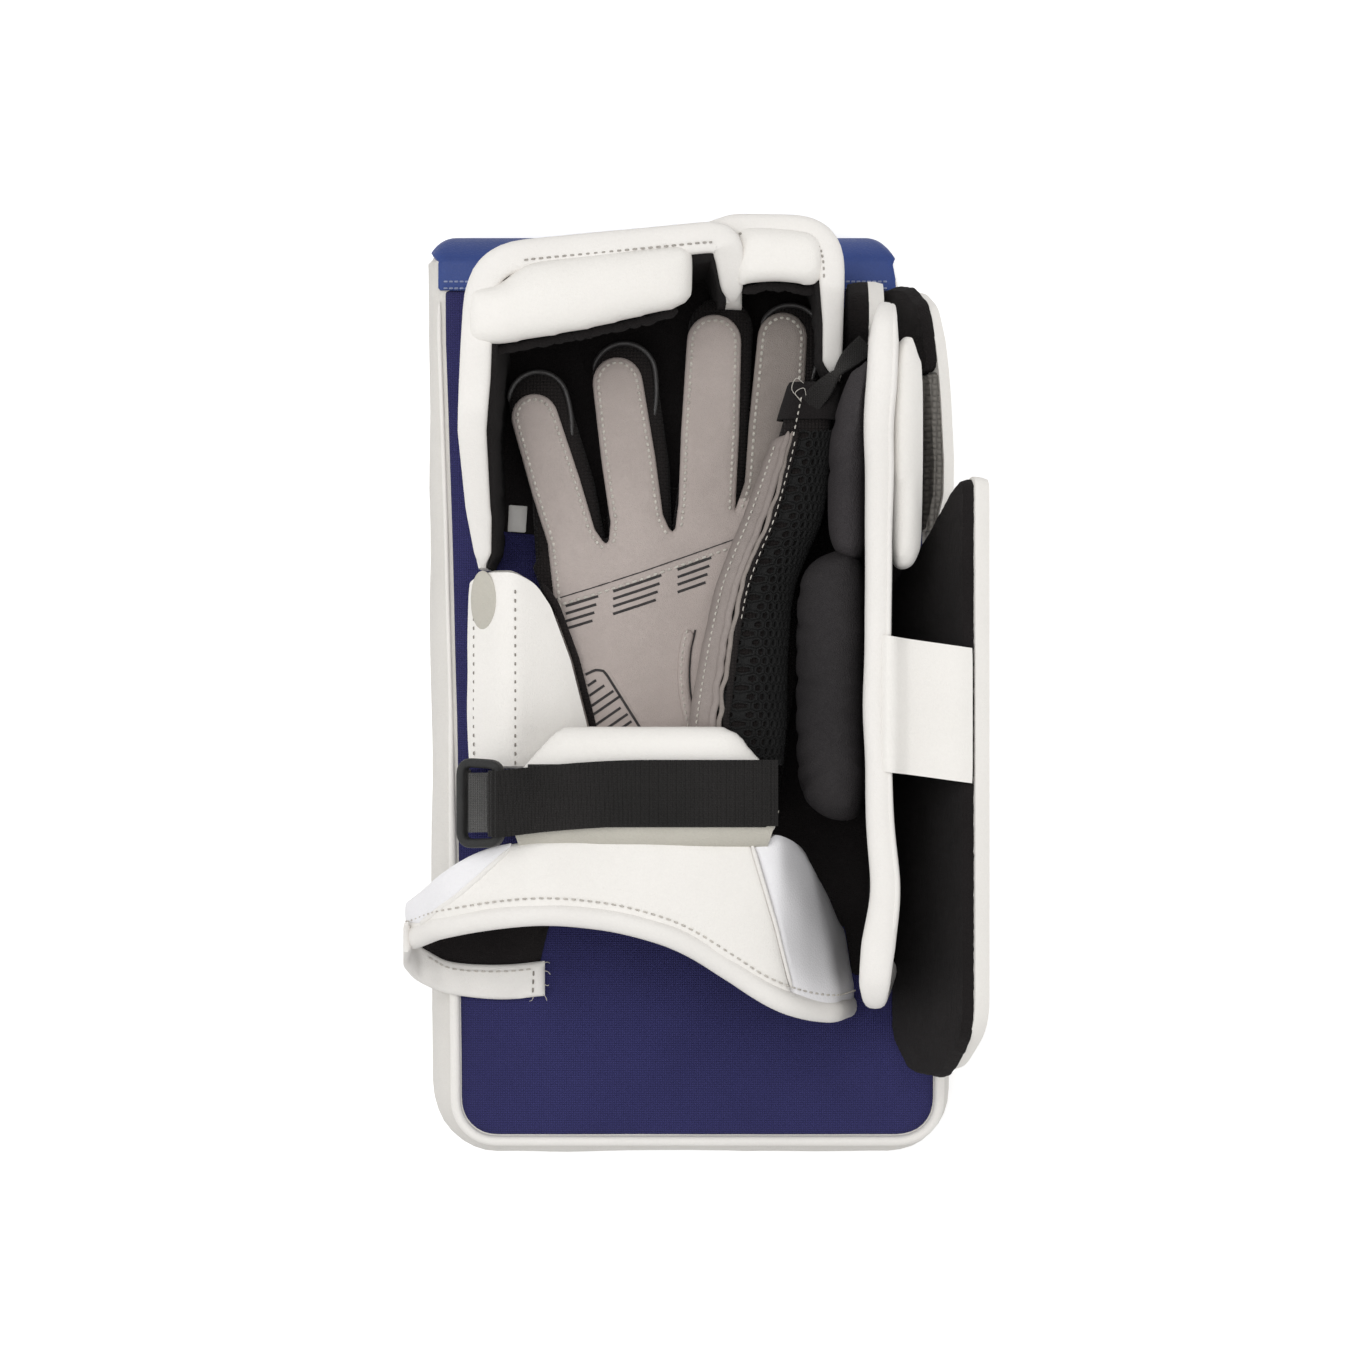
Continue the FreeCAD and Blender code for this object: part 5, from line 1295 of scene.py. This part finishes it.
# A sloping beige strip along the wrist pad's near edge: its beige paints the shade and reflected light on
# that face.
SKIRT_RUN = [(-47.0, 94.6), (-52.5, 94.5), (-56.5, 93.8), (-60.0, 91.8), (-62.0, 89.0), (-62.4, 86.0)]
skirt_section = curve_through(SKIRT_RUN, SKIRT_ROWS)
skirt_top = np.array([[(x + 0.06 * (x + 19.0) * (y + 52.5) / 10.0, y, z) for y, z in skirt_section]
                      for x in np.linspace(-72.5, 33.0, SKIRT_STEPS)])
skirt_top[:, :, 2] += wander(skirt_top.reshape(-1, 3), 14.0, 0.25).reshape(SKIRT_STEPS, SKIRT_ROWS)
skirt_cloud = np.concatenate([skirt_top, (skirt_top - (0, 0, 1.6))[:, ::-1]], axis=1).reshape(-1, 3)
piece("wrist_cushion_shaded_skirt", skirt_cloud, tube_faces(SKIRT_STEPS, 2 * SKIRT_ROWS), beige_leather_and_shade, "board")
low_y, high_y = STRAP_Y - STRAP_WIDE / 2 + 0.6, STRAP_Y + STRAP_WIDE / 2 - 0.6
panel("hook_tape", [(-66.0, low_y), (30.0, low_y), (30.0, high_y), (-66.0, high_y)], flat_at(TAPE_Z), 1.8,
      webbing, "board", ("strap_base",), puff=0.1)


def strap_bow(x):
    """The strap's middle line in y: it swings a little towards the cuff at the buckle."""
    share = max(0.0, min(1.0, (-x - BOW_START) / BOW_RUN))
    return STRAP_Y + BOW_SHIFT - BOW_REACH * share ** BOW_POWER


strap_run = [(34.2, 97.5), (28.0, 97.1), (0.0, 97.1), (-40.0, 97.1), (-57.0, 97.2), (-63.0, 98.6),
             (-68.0, 101.2), (-72.5, 103.0)]
strap_run += [(BAR_X + FOLD_RADIUS * math.cos(a), BAR_Z + FOLD_RADIUS * math.sin(a))
              for a in np.radians(np.arange(90, 216, 9))]
strap_path = [(x, strap_bow(x), z) for x, z in curve_through(strap_run, 260)]
ribbon("webbing_strap", strap_path, STRAIGHT, STRAP_WIDE, 1.5, webbing, "strap", ("strap_tab",), columns=25,
       ribs=0.22, step=0.3)
black_plastic = make_speckled("black_plastic", (0.026, 0.026, 0.025), (0.019, 0.019, 0.019), 90.0, 0.4,
                              2600.0, 0.00015, shine=0.35)
LOOP_Y = strap_bow(BAR_X)
LOOP_MIDDLE = np.array((-84.79, LOOP_Y, 94.73))
LOOP_WAY = np.array((0.866, 0.0, 0.5))
LOOP_UP = np.array((-0.5, 0.0, 0.866))
loop_plan = rounded_plan([(-9.0, -16.4), (9.0, -15.6), (9.0, 15.6), (-9.0, 16.4)], 5.0, 1.2)
loop_spine = LOOP_MIDDLE + loop_plan[:, :1] * LOOP_WAY + loop_plan[:, 1:] * np.array((0, 1, 0))
loop_ahead = np.roll(loop_spine, -1, 0) - np.roll(loop_spine, 1, 0)
rolled_edge("buckle_loop", loop_spine, unit(np.cross(loop_ahead, LOOP_UP)), LOOP_UP, 1.9, 2.3, black_plastic,
            "buckle", ("strap_buckle",), square=3.4, ring=True)
ANCHOR_RUN = [(-93.0, 30.6), (-93.6, 50.0), (-93.9, 78.0), (-93.7, 86.0), (-92.6, 88.5), (-91.0, 88.4),
              (-88.0, 86.6), (-84.0, 84.8), (-78.0, 83.9), (-70.0, 83.6)]
grey_webbing = make_cloth("grey_webbing", (0.26, 0.257, 0.252), (0.19, 0.187, 0.182), 0.6, 1400.0, 0.0004,
                          slot="black_webbing")
ribbon("buckle_webbing", [(x, LOOP_Y, z) for x, z in curve_through(ANCHOR_RUN, 160)], STRAIGHT, 24.0, 1.2,
       grey_webbing, "board", ("buckle_anchor",), columns=17, ribs=0.12, pitch=1.6)

# Cuff
# White leather over a thin foam sheet, bent in a wide arch over the forearm and sewn down on both sides.
# Its near edge is bound with a rolled strip, and black cloth lines the inside and the flap it stands on.
CUFF_THICK = 4.0
CUFF_SEAM_X = 31.5
DRAWN_IN = 10.0
DRAWN_SIDE = (26.0, 34.0)
DRAWN_ALONG = (54.0, -122.0)
SLANT = 0.3
SLANT_Y = -85.0
SLANT_REACH = 25.0
SLANT_NEAR_Y = -118.0
SLANT_FAR_Y = -60.0
CUFF_NEAR = ((-142.8, -109.2), (-119.0, -103.5), (-100.0, -96.3), (-65.5, -90.9), (-36.9, -92.5),
             (-15.0, -97.5), (0.0, -103.6), (16.0, -113.5), (32.0, -123.5), (51.7, -130.8), (81.6, -134.0))
CUFF_FAR = ((-142.8, -101.0), (-119.0, -88.0), (-75.0, -61.0), (20.0, -60.0), (35.0, -57.0), (50.0, -62.0),
            (58.0, -70.0), (63.0, -82.0), (68.0, -98.0), (81.6, -104.0))
cuff_run = rounded_run([(68.0, 30.0), (58.5, 68.4), (35.4, 89.5), (-65.5, 92.0), (-100.0, 80.8),
                        (-119.0, 54.8), (-110.7, 37.4)], 18.0, 1.6)
cuff_u = stops_along(cuff_run)
cuff_arch_place = arched(cuff_run)


def cuff_place(u, v, w):
    """Surface of the cuff: its thumb side draws in towards the hand."""
    spots = cuff_arch_place(u, v, w)
    by_thumb = ramp(spots[:, 0], *DRAWN_SIDE)
    spots[:, 0] -= DRAWN_IN * by_thumb * ramp(spots[:, 1], *DRAWN_ALONG)
    return spots


def along_curve(at, knots):
    """Heights of a smooth line through knots at given places."""
    return np.interp(at, *curve_through(knots, 120).T)


def cuff_edge(rim, u):
    return along_curve(np.interp(u, cuff_u, cuff_run[:, 0]), rim)


def strip(name, place, u, low, high, floor_w, top_w, finish, carrier, nodes=(), columns=26, puff=1.0,
          soft=6.0, dents=0.5, size=26.0):
    """Closed sheet between two edges of a bent surface, with a soft crown and slight dents."""
    share = np.linspace(0, 1, columns)
    across = np.repeat(u, columns)
    along = (low[:, None] + (high - low)[:, None] * share).ravel()
    ends = np.minimum(across - u[0], u[-1] - across)
    sides = (np.minimum(share, 1 - share)[None] * (high - low)[:, None]).ravel()
    depth = np.minimum(ends, sides)
    crown = puff * (1 - np.exp(-depth / soft))
    top = top_w - 0.3 * (top_w - floor_w) * (1 - ramp(depth, 0.8)) + crown
    top += wander(np.column_stack([across, along]), size, dents) * ramp(depth, soft)
    return closed_sheet(name, place(across, along, top), place(across, along, floor_w),
                        rows_of_faces(len(u), columns, False), finish, carrier, nodes)


front_u = cuff_u[cuff_run[:, 0] <= CUFF_SEAM_X]
side_u = np.linspace(0, front_u[0] - 0.4, 40)


def seam_slant(u, v):
    """The cut between the two parts of the cuff slants, and the cloth beside it is cut to follow."""
    return u + SLANT * (v - SLANT_Y) * hump(u - front_u[0], SLANT_REACH)


def slanted_place(u, v, w):
    return cuff_place(seam_slant(u, v), v, w)


# A blue-tinted copy of the white leather: painted cool light on the cuff's side and corner facets, which turn
# away from the top of the arch.
cool_lit_leather = make_leather("cool_lit_leather", (0.86, 0.85, 0.865), (0.81, 0.80, 0.815), 0.5, 900.0, 0.6,
                            0.00022, slot="white_leather")
for name, u, cad_node, finish in (("cuff_arch", front_u, "cuff_front_panel", white_leather),
                                  ("cuff_side", side_u, "cuff_side_panel", cool_lit_leather)):
    strip(name, slanted_place, u, cuff_edge(CUFF_NEAR, seam_slant(u, SLANT_NEAR_Y)),
          cuff_edge(CUFF_FAR, seam_slant(u, SLANT_FAR_Y)), -CUFF_THICK, 0.0, finish, "board", (cad_node,),
          dents=0.9, size=22.0)
near_edge = cuff_edge(CUFF_NEAR, cuff_u)
strip("cuff_cloth", cuff_place, cuff_u, near_edge + 1.0, cuff_edge(CUFF_FAR, cuff_u) - 1.0, -5.6, -CUFF_THICK,
      black_lining, "board", ("cuff_lining",), puff=-0.4, dents=0.2)
near_line = cuff_place(cuff_u, near_edge + 2.0, -1.8)
near_out = outward(cuff_place, cuff_u, near_edge)
near_line += near_out * wander(near_line, 18.0, 0.9)[:, None]
rolled_edge("cuff_rolled_binding", near_line, *edge_frame(near_line, near_out), 4.7, 3.9, white_binding,
            "board", ("cuff_binding",), square=2.2)
tan_thread = thread_finish("tan_thread", (0.70, 0.66, 0.60))
stitches("cuff_thread", np.column_stack([cuff_u, near_edge + 8.6])[3:-3], cuff_place, 1.25, tan_thread,
         "board", pitch=3.2, share=0.6, width=0.4)
LEFT_SEAM = ((-73.0, -62.0), (-84.0, -72.0), (-94.0, -81.0), (-104.0, -89.0), (-111.0, -94.5))
left_seam = curve_through(LEFT_SEAM, 40)
left_at = np.interp(-left_seam[:, 0], -cuff_run[:, 0], cuff_u)
seam_u = np.full(40, front_u[0])
seam_y = np.linspace(-119.0, -60.0, 40)
for name, place, u, y, lift, wide, high in (
        ("cuff_seam_welt", slanted_place, seam_u, seam_y, 0.1, 0.9, 0.7),
        ("cuff_left_welt", cuff_place, left_at, left_seam[:, 1], 0.7, 1.3, 0.8)):
    spine = place(u, y, lift)
    rolled_edge(name, spine, *edge_frame(spine, outward(place, u, y)), wide, high, white_binding, "board",
                sides=10, square=2.0)
corner_u = np.linspace(left_at[0], left_at[-1], 40)
strip("cuff_corner", cuff_place, corner_u, np.interp(corner_u, left_at, left_seam[:, 1]),
      cuff_edge(CUFF_FAR, corner_u) + 0.4, -0.5, 1.3, cool_lit_leather, "board", columns=12, puff=0.8, dents=0.3)
FLAP = [(-113.0, -90.0), (-57.0, -88.0), (-60.5, -100.0), (-65.0, -119.0), (-108.0, -121.0), (-114.0, -112.0)]
panel("cuff_flap", rounded_plan(FLAP, 4.0), flat_at(BACK_Z + 0.2), 1.6, black_lining, "board",
      ("cuff_return",), puff=0.4, dents=0.6)
curl_run = rounded_run([(-118.0, 62.0), (-119.5, 50.0), (-115.5, 40.0), (-106.0, 34.4), (-94.0, 32.4),
                        (-61.5, 31.8)], 12.0, 1.5)
curl_u = stops_along(curl_run)
curl_end = curl_u[-1]
curl_low = along_curve(curl_u, ((0, -106.0), (14, -114.0), (28, -122.0), (40, -126.0), (60, -128.0),
                                (curl_end, -126.5)))
curl_high = along_curve(curl_u, ((0, -94.0), (14, -99.0), (28, -107.5), (40, -112.5), (60, -113.6),
                                 (curl_end, -112.0)))
curl_place = arched(curl_run)
strip("cuff_curl", curl_place, curl_u, curl_low, curl_high, 0.0, -2.2, white_binding, "board", columns=14,
      puff=-0.9, soft=3.0, dents=0.9, size=9.0)
stitches("cuff_curl_thread", np.column_stack([curl_u, curl_high - 2.6])[18:-3], curl_place, -3.2, tan_thread,
         "board", pitch=3.0, share=0.6, width=0.42)
stitches("cuff_curl_end_thread", [(curl_end - 5.0, -125.0), (curl_end - 4.6, -114.6)], curl_place, -3.2,
         brown_thread_and_hole_shade, "board", share=0.6, width=0.42)
fray("cuff_curl_ends", [[(-63.0, -113.4, 33.4), (-60.6, -112.4, 34.0), (-59.4, -112.9, 33.6)],
                        [(-63.0, -116.0, 33.4), (-60.4, -116.3, 33.8), (-59.2, -117.6, 33.0)],
                        [(-63.0, -121.0, 33.4), (-60.6, -122.2, 33.7), (-59.8, -122.0, 33.2)],
                        [(-63.0, -125.0, 33.4), (-61.2, -126.9, 33.8), (-60.6, -128.6, 33.0)],
                        [(-66.0, -125.5, 33.4), (-66.6, -128.0, 33.6), (-67.8, -128.9, 32.4)]],
     tan_thread, "board")

# Thumb guard
# A foam plate that stands along the thumb, black cloth on both faces and a thick white binding round its
# free edge. Two stuffed dark pads line the inside, and a white leather crescent is sewn outside.
PLATE_TALL = 78.0
GUARD_BOW = ((-126.0, -5.0), (-102.0, -2.6), (-78.0, -0.2), (-48.0, -1.6), (-17.0, -2.8), (37.0, -2.4),
             (108.0, -1.8), (156.0, 1.2))
PAD_SEAT_X = 74.0
PAD_FREE_RUN = 12.0


def leaning(x0, z0, lean, bow=((-1, 0.0), (1, 0.0))):
    """Surface that leans on its foot: u along y, v up the plate, w outwards."""
    tilt = math.radians(lean)

    def place(u, v, w):
        bent = np.interp(u, *np.array(bow).T) * ramp(v, PLATE_TALL) ** 1.5
        return in_columns(x0 + v * math.sin(tilt) + w * math.cos(tilt) + bent, u,
                          z0 + v * math.cos(tilt) - w * math.sin(tilt))
    return place


def shifted(place, rise, way=1.0):
    """The same surface, with its zero moved outwards, and turned to face the other way where way is -1."""
    return lambda u, v, w: place(u, v, rise + way * w)


guard_place = leaning(80.0, 31.7, -2.5, curve_through(GUARD_BOW, 60))
charcoal_cloth = make_cloth("charcoal_cloth", (0.04, 0.037, 0.037), (0.026, 0.024, 0.024), 0.75, 520.0,
                            0.0007, slot="black_lining")
plate_outline = rounded_plan([(-110.0, 1.0), (94.0, 1.0), (150.5, 57.5), (150.5, 74.5), (-120.5, 74.5),
                              (-120.5, 20.5)], 10.0, 3.0)
panel("guard_outer_cloth", plate_outline, shifted(guard_place, -3.4), 6.9, charcoal_cloth, "thumb_guard",
      ("thumb_guard_plate",), step=3.0, puff=0.4, dents=0.4)
panel("guard_inner_cloth", plate_outline, shifted(guard_place, -3.5, -1.0), 2.0, black_lining, "thumb_guard",
      ("thumb_guard_lining",), step=3.0, dents=0.6)
guard_rim = rounded_run([(95.0, 2.0), (95.5, 2.4), (151.5, 58.5), (151.5, 75.5), (-121.5, 75.5),
                         (-121.5, 20.5), (-112.5, 2.0)], 14.0, 2.0)
rim_spine = guard_place(*guard_rim.T, -0.6)
rim_out = outward(guard_place, *guard_rim.T)
rim_spine += rim_out * wander(rim_spine, 30.0, 1.2)[:, None]
rim_side, rim_rise = edge_frame(rim_spine, rim_out)
rim_wide = np.interp(guard_rim[:, 0], (-122, -116, -100, -80, -20, 60, 120, 140, 148, 152),
                     (4.6, 6.2, 6.8, 6.0, 5.2, 5.4, 6.2, 6.0, 5.0, 3.6))
rolled_edge("guard_binding", rim_spine, rim_side, rim_rise, 4.9, rim_wide, white_binding, "thumb_guard",
            ("thumb_guard_binding",), square=2.5)
bead = (guard_rim[:, 1] > 60) & (guard_rim[:, 0] > -96)
bead_spine = (rim_spine + rim_rise * (rim_wide * 0.72)[:, None] + rim_side * 3.0)[bead]
rolled_edge("guard_bead", bead_spine, rim_side[bead], rim_rise[bead], 1.3, 1.3, white_binding, "thumb_guard",
            sides=10, square=2.0)
black_leather = make_leather("black_leather", (0.05, 0.045, 0.047), (0.034, 0.03, 0.032), 0.6, 1100.0, 1.2,
                             0.0007, 0.2)
# A darker copy of the black leather for the lower pad: its darker tone is painted shade, as that pad lies
# deeper in shadow.
shaded_low_pad_leather = make_leather("shaded_low_pad_leather", (0.03, 0.027, 0.028), (0.02, 0.018, 0.019), 0.6, 1100.0,
                               1.2, 0.0007, 0.18, "black_leather")
UPPER_PAD = [(52.0, 32.0), (52.0, 67.0), (110.0, 70.0), (130.0, 70.0), (137.0, 66.0), (133.0, 56.0),
             (114.0, 36.0), (98.0, 29.0)]
LOWER_PAD = [(-53.0, 26.0), (-44.0, 13.0), (59.0, 13.0), (59.0, 68.5), (-44.0, 68.5), (-53.0, 58.0)]
pad_place = shifted(guard_place, -5.4, -1.0)
upper_pad = stuffed("guard_upper_pad", rounded_plan(UPPER_PAD, 9.0), pad_place, 16.5, black_leather,
                    "thumb_guard", ("thumb_guard_upper_pad",), step=2.6, flat_share=0.25, edge=14.0,
                    voxel=0.0036, most=5.0)
lower_pad = stuffed("guard_lower_pad", rounded_plan(LOWER_PAD, 12.0), pad_place, 29.0, shaded_low_pad_leather,
                    "thumb_guard", ("thumb_guard_lower_pad",), step=3.0, flat_share=0.25, edge=18.0,
                    voxel=0.0042, most=6.0)


def crease_pad(made, creases):
    """Presses slanted folds into a pad's free face: each has its place along y, slant, depth and width."""
    spots = vertex_places(made) / MM
    free = ramp(PAD_SEAT_X - spots[:, 0], PAD_FREE_RUN)
    way = spots[:, 1] + wander(spots, 16.0, 2.5)
    for y, slant, depth, width in creases:
        spots[:, 0] += free * depth * hump(way - y - slant * (spots[:, 2] - 75.0), width)
    made.data.vertices.foreach_set("co", (spots * MM).ravel())


crease_pad(lower_pad, ((41.0, 0.1, 0.8, 1.8), (29.0, -0.15, 1.1, 2.0), (17.0, 0.2, 0.7, 1.8),
                       (6.0, -0.1, 1.2, 2.0), (-6.0, 0.2, 0.7, 1.8), (-17.0, 0.1, 1.2, 2.0),
                       (-30.0, 0.3, 0.9, 1.8), (-41.0, 0.5, 1.8, 2.4)))
crease_pad(upper_pad, ((140.0, 0.0, 6.5, 26.0), (112.0, -0.2, 0.8, 2.4), (88.0, 0.2, 0.9, 2.6)))
CRESCENT = [(47.5, 50.0), (48.0, 70.0), (96.0, 75.0), (143.5, 74.0), (146.0, 68.0), (128.0, 48.0),
            (100.0, 36.0), (66.0, 37.0)]
stuffed("guard_crescent", rounded_plan(CRESCENT, 8.0), shifted(guard_place, 2.4), 13.6, white_leather,
        "thumb_guard", ("thumb_guard_outer_panel",), step=2.4, flat_share=0.3, edge=12.0, voxel=0.0034,
        most=3.0)

# Side panels
# Two white leather flaps with foam inside, which stand out from the board's edge behind the thumb guard.
# Their inner faces are black brushed cloth, trimmed by hand, so the edge is ragged where it meets the white.
FOOT_Z = 32.0
FOOT_RISE = math.tan(math.radians(12))
PANEL_LEAN = 21.5
SHOULDER_TURN = math.atan2(SHOULDER_DEPTH, SHOULDER_LENGTH)
HIGH_X = 94.0
HIGH_Y = 92.0


def ragged(outline, depth, seed_shift):
    """Outline with small uneven nicks, as cloth has where it was trimmed."""
    rim = spaced(outline, 1.6)
    ahead = np.roll(rim, -1, 0) - np.roll(rim, 1, 0)
    out = unit(np.column_stack([ahead[:, 1], -ahead[:, 0]]))
    return rim + out * wander(rim + seed_shift, 2.2, depth)[:, None]


def level_foot(place):
    """Surface cut nearly level at its foot, so that it clears the board when the guard flexes."""
    def cut(u, v, w):
        spots = place(u, v, w)
        spots[:, 2] = np.maximum(spots[:, 2], FOOT_Z + FOOT_RISE * (spots[:, 0] - 90.0))
        return spots
    return cut


low_place = leaning(89.5, 31.7, PANEL_LEAN)
LOW_SIDE = [(-141.0, 0.5), (46.0, 0.5), (64.0, 33.0), (83.0, 58.0), (89.0, 70.0), (-134.0, 70.0),
            (-154.0, 46.0), (-154.0, 18.0)]
LOW_CLOTH = [(-143.0, 0.0), (46.0, 0.0), (63.5, 33.0), (82.0, 57.5), (88.0, 68.5), (-136.0, 68.5),
             (-156.5, 47.0), (-156.5, 17.0)]
panel("low_side_leather", rounded_plan(LOW_SIDE, 24.0), level_foot(shifted(low_place, -2.2)), 6.6,
      white_leather, "thumb_guard", ("lower_side_panel_cover",), step=3.0, puff=1.6, soft=10.0, dents=0.5)
panel("low_side_cloth", ragged(rounded_plan(LOW_CLOTH, 23.0), 0.9, 0.0), shifted(low_place, -2.0, -1.0), 4.6,
      black_lining, "thumb_guard", ("lower_side_panel_lining",), step=2.6, puff=1.6, soft=8.0, dents=0.7)
high_stand = leaning(0.0, 30.244, PANEL_LEAN)


def high_place(u, v, w):
    """Leaning surface turned to follow the slanted shoulder of the board."""
    x, y, z = high_stand(u - HIGH_Y, v, w).T
    return np.column_stack([HIGH_X + x * math.cos(SHOULDER_TURN) - y * math.sin(SHOULDER_TURN),
                            HIGH_Y + x * math.sin(SHOULDER_TURN) + y * math.cos(SHOULDER_TURN), z])


HIGH_SIDE = [(66.0, 1.0), (157.0, 1.0), (166.0, 9.0), (166.5, 20.0), (163.0, 34.0), (155.5, 43.0),
             (141.0, 44.0), (128.5, 42.0), (118.0, 39.5), (93.0, 32.0), (80.0, 26.0), (66.0, 12.0)]
HIGH_CLOTH = [(130.0, 0.5), (158.0, 0.5), (167.8, 9.0), (168.4, 20.5), (165.0, 34.5), (156.5, 44.6),
              (141.0, 43.6), (130.0, 41.5)]
HIGH_RIBBED = [(67.0, 1.0), (129.5, 1.0), (129.5, 41.3), (118.0, 38.5), (93.0, 31.0), (80.5, 25.0),
               (67.0, 11.5)]
panel("high_side_leather", rounded_plan(HIGH_SIDE, 9.0), shifted(high_place, -2.2), 5.0, white_leather,
      "upper_panel", ("upper_side_panel_cover",), step=2.4, puff=1.2, soft=8.0, dents=0.4)
inner_place = shifted(high_place, -2.0, -1.0)
panel("high_side_cloth", ragged(rounded_plan(HIGH_CLOTH, 9.0), 0.8, 5.0), inner_place, 4.6, black_lining,
      "upper_panel", ("upper_side_panel_lining",), step=2.2, puff=2.2, soft=8.0, dents=0.6)
grey_ribbed = make_cloth("grey_ribbed", (0.24, 0.225, 0.205), (0.17, 0.16, 0.145), 0.7, 420.0, 0.0008,
                         slot="black_lining")
panel("high_side_ribbed", rounded_plan(HIGH_RIBBED, 2.0), inner_place, 3.8, grey_ribbed, "upper_panel",
      step=2.2, puff=1.4, soft=8.0, dents=0.5)

# Link strap and base strips
# A flat white leather band that ties the thumb guard to the lower side panel, a short lined wall beside
# the index finger, and the cloth strip that the thumb guard is sewn to the board with.
LINK_X = 75.0
LINK_SLANT = 0.14
LINK_RUN = [(75.2, 110.8), (77.2, 113.0), (79.8, 112.0), (82.6, 107.4), (86.5, 103.4), (96.0, 101.2),
            (106.0, 100.4), (111.5, 98.6)]
link_band = ribbon("link_band", [(x, -3.7, z) for x, z in curve_through(LINK_RUN, 60)], STRAIGHT, 54.0, 2.0,
                   white_leather, "thumb_guard", ("link_strap",), columns=29, step=1.2)
for corner in link_band.data.vertices:
    corner.co.y -= LINK_SLANT * (corner.co.x - LINK_X * MM)
wall_place = leaning(75.0, BACK_Z, 0.0)
WALL = [(140.0, 0.5), (170.0, 0.5), (170.0, 22.0), (163.0, 31.5), (150.0, 31.5), (140.0, 14.0)]
wall_outline = rounded_plan(WALL, 7.0)
panel("base_wall_leather", wall_outline, shifted(wall_place, -2.6), 6.2, white_leather, "board",
      ("thumb_side_wall",), step=2.2, puff=0.8)
panel("base_wall_cloth", ragged(wall_outline, 0.6, 3.0), shifted(wall_place, -2.5, -1.0), 8.0, black_lining,
      "board", step=2.2, puff=1.5, dents=0.5)
panel("hinge_strip", [(75.0, -99.0), (92.0, -99.0), (92.0, 57.0), (75.0, 57.0)], flat_at(30.05), 1.1,
      black_lining, ("board", "thumb_guard", (0.083, 0.0, 0.0306), (0.093, 0.0, 0.0306)),
      ("wing_seam_strip",), step=2.5, puff=0.1)

# Studio
# White paper floor, a large soft light overhead and two weaker ones, and a camera high above the palm.
# The floor glows a little to the camera alone, so that it stays white and keeps the object's shadow.
CAMERA_RISE = 1500.0
VIEW_WIDTH = 569.4
SENSOR = 36.0
FLOOR_Z = -0.0005
FLOOR_GLOW = 0.35
ROOM_LIGHT = 0.45
scene = bpy.context.scene
floor_mesh = bpy.data.meshes.new("floor")
floor_mesh.from_pydata([(x, y, FLOOR_Z) for x, y in ((-6, -6), (6, -6), (6, 6), (-6, 6))], [], [(0, 1, 2, 3)])
floor = bpy.data.objects.new("floor", floor_mesh)
scene.collection.objects.link(floor)
paper = bpy.data.materials.new("paper")
paper.use_nodes = True
paper_shader = paper.node_tree.nodes["Principled BSDF"]
for key, value in (("Base Color", (0.93, 0.93, 0.93, 1)), ("Roughness", 0.9), ("Specular IOR Level", 0.1),
                   ("Emission Color", (1, 1, 1, 1))):
    paper_shader.inputs[key].default_value = value
seen = node(paper.node_tree, "ShaderNodeLightPath").outputs["Is Camera Ray"]
glow = sums(paper.node_tree, "MULTIPLY", seen, FLOOR_GLOW)
paper.node_tree.links.new(glow, paper_shader.inputs["Emission Strength"])
floor_mesh.materials.append(paper)
for name, spot, size, power in (("overhead", (-0.35, 0.45, 1.9), 1.8, 21.0),
                                ("left", (-1.7, -0.3, 1.0), 1.4, 7.6),
                                ("right", (1.6, -0.6, 1.2), 1.4, 9.6)):
    lamp = bpy.data.lights.new(name, "AREA")
    lamp.energy = power
    lamp.size = size
    holder = bpy.data.objects.new(name, lamp)
    holder.location = spot
    holder.rotation_euler = (Vector((0, 0, 0.03)) - Vector(spot)).to_track_quat("-Z", "Y").to_euler()
    scene.collection.objects.link(holder)
world = bpy.data.worlds.new("room")
world.use_nodes = True
backdrop = world.node_tree.nodes["Background"]
backdrop.inputs["Color"].default_value = (1, 1, 1, 1)
backdrop.inputs["Strength"].default_value = ROOM_LIGHT
scene.world = world
camera = bpy.data.cameras.new("camera")
camera.sensor_width = SENSOR
camera.lens = SENSOR * CAMERA_RISE / VIEW_WIDTH
viewer = bpy.data.objects.new("camera", camera)
viewer.location = (-5.0 * MM, 5.4 * MM, (BACK_Z + CAMERA_RISE) * MM)
scene.collection.objects.link(viewer)
scene.camera = viewer
scene.view_settings.view_transform = "Standard"
bpy.context.view_layer.update()
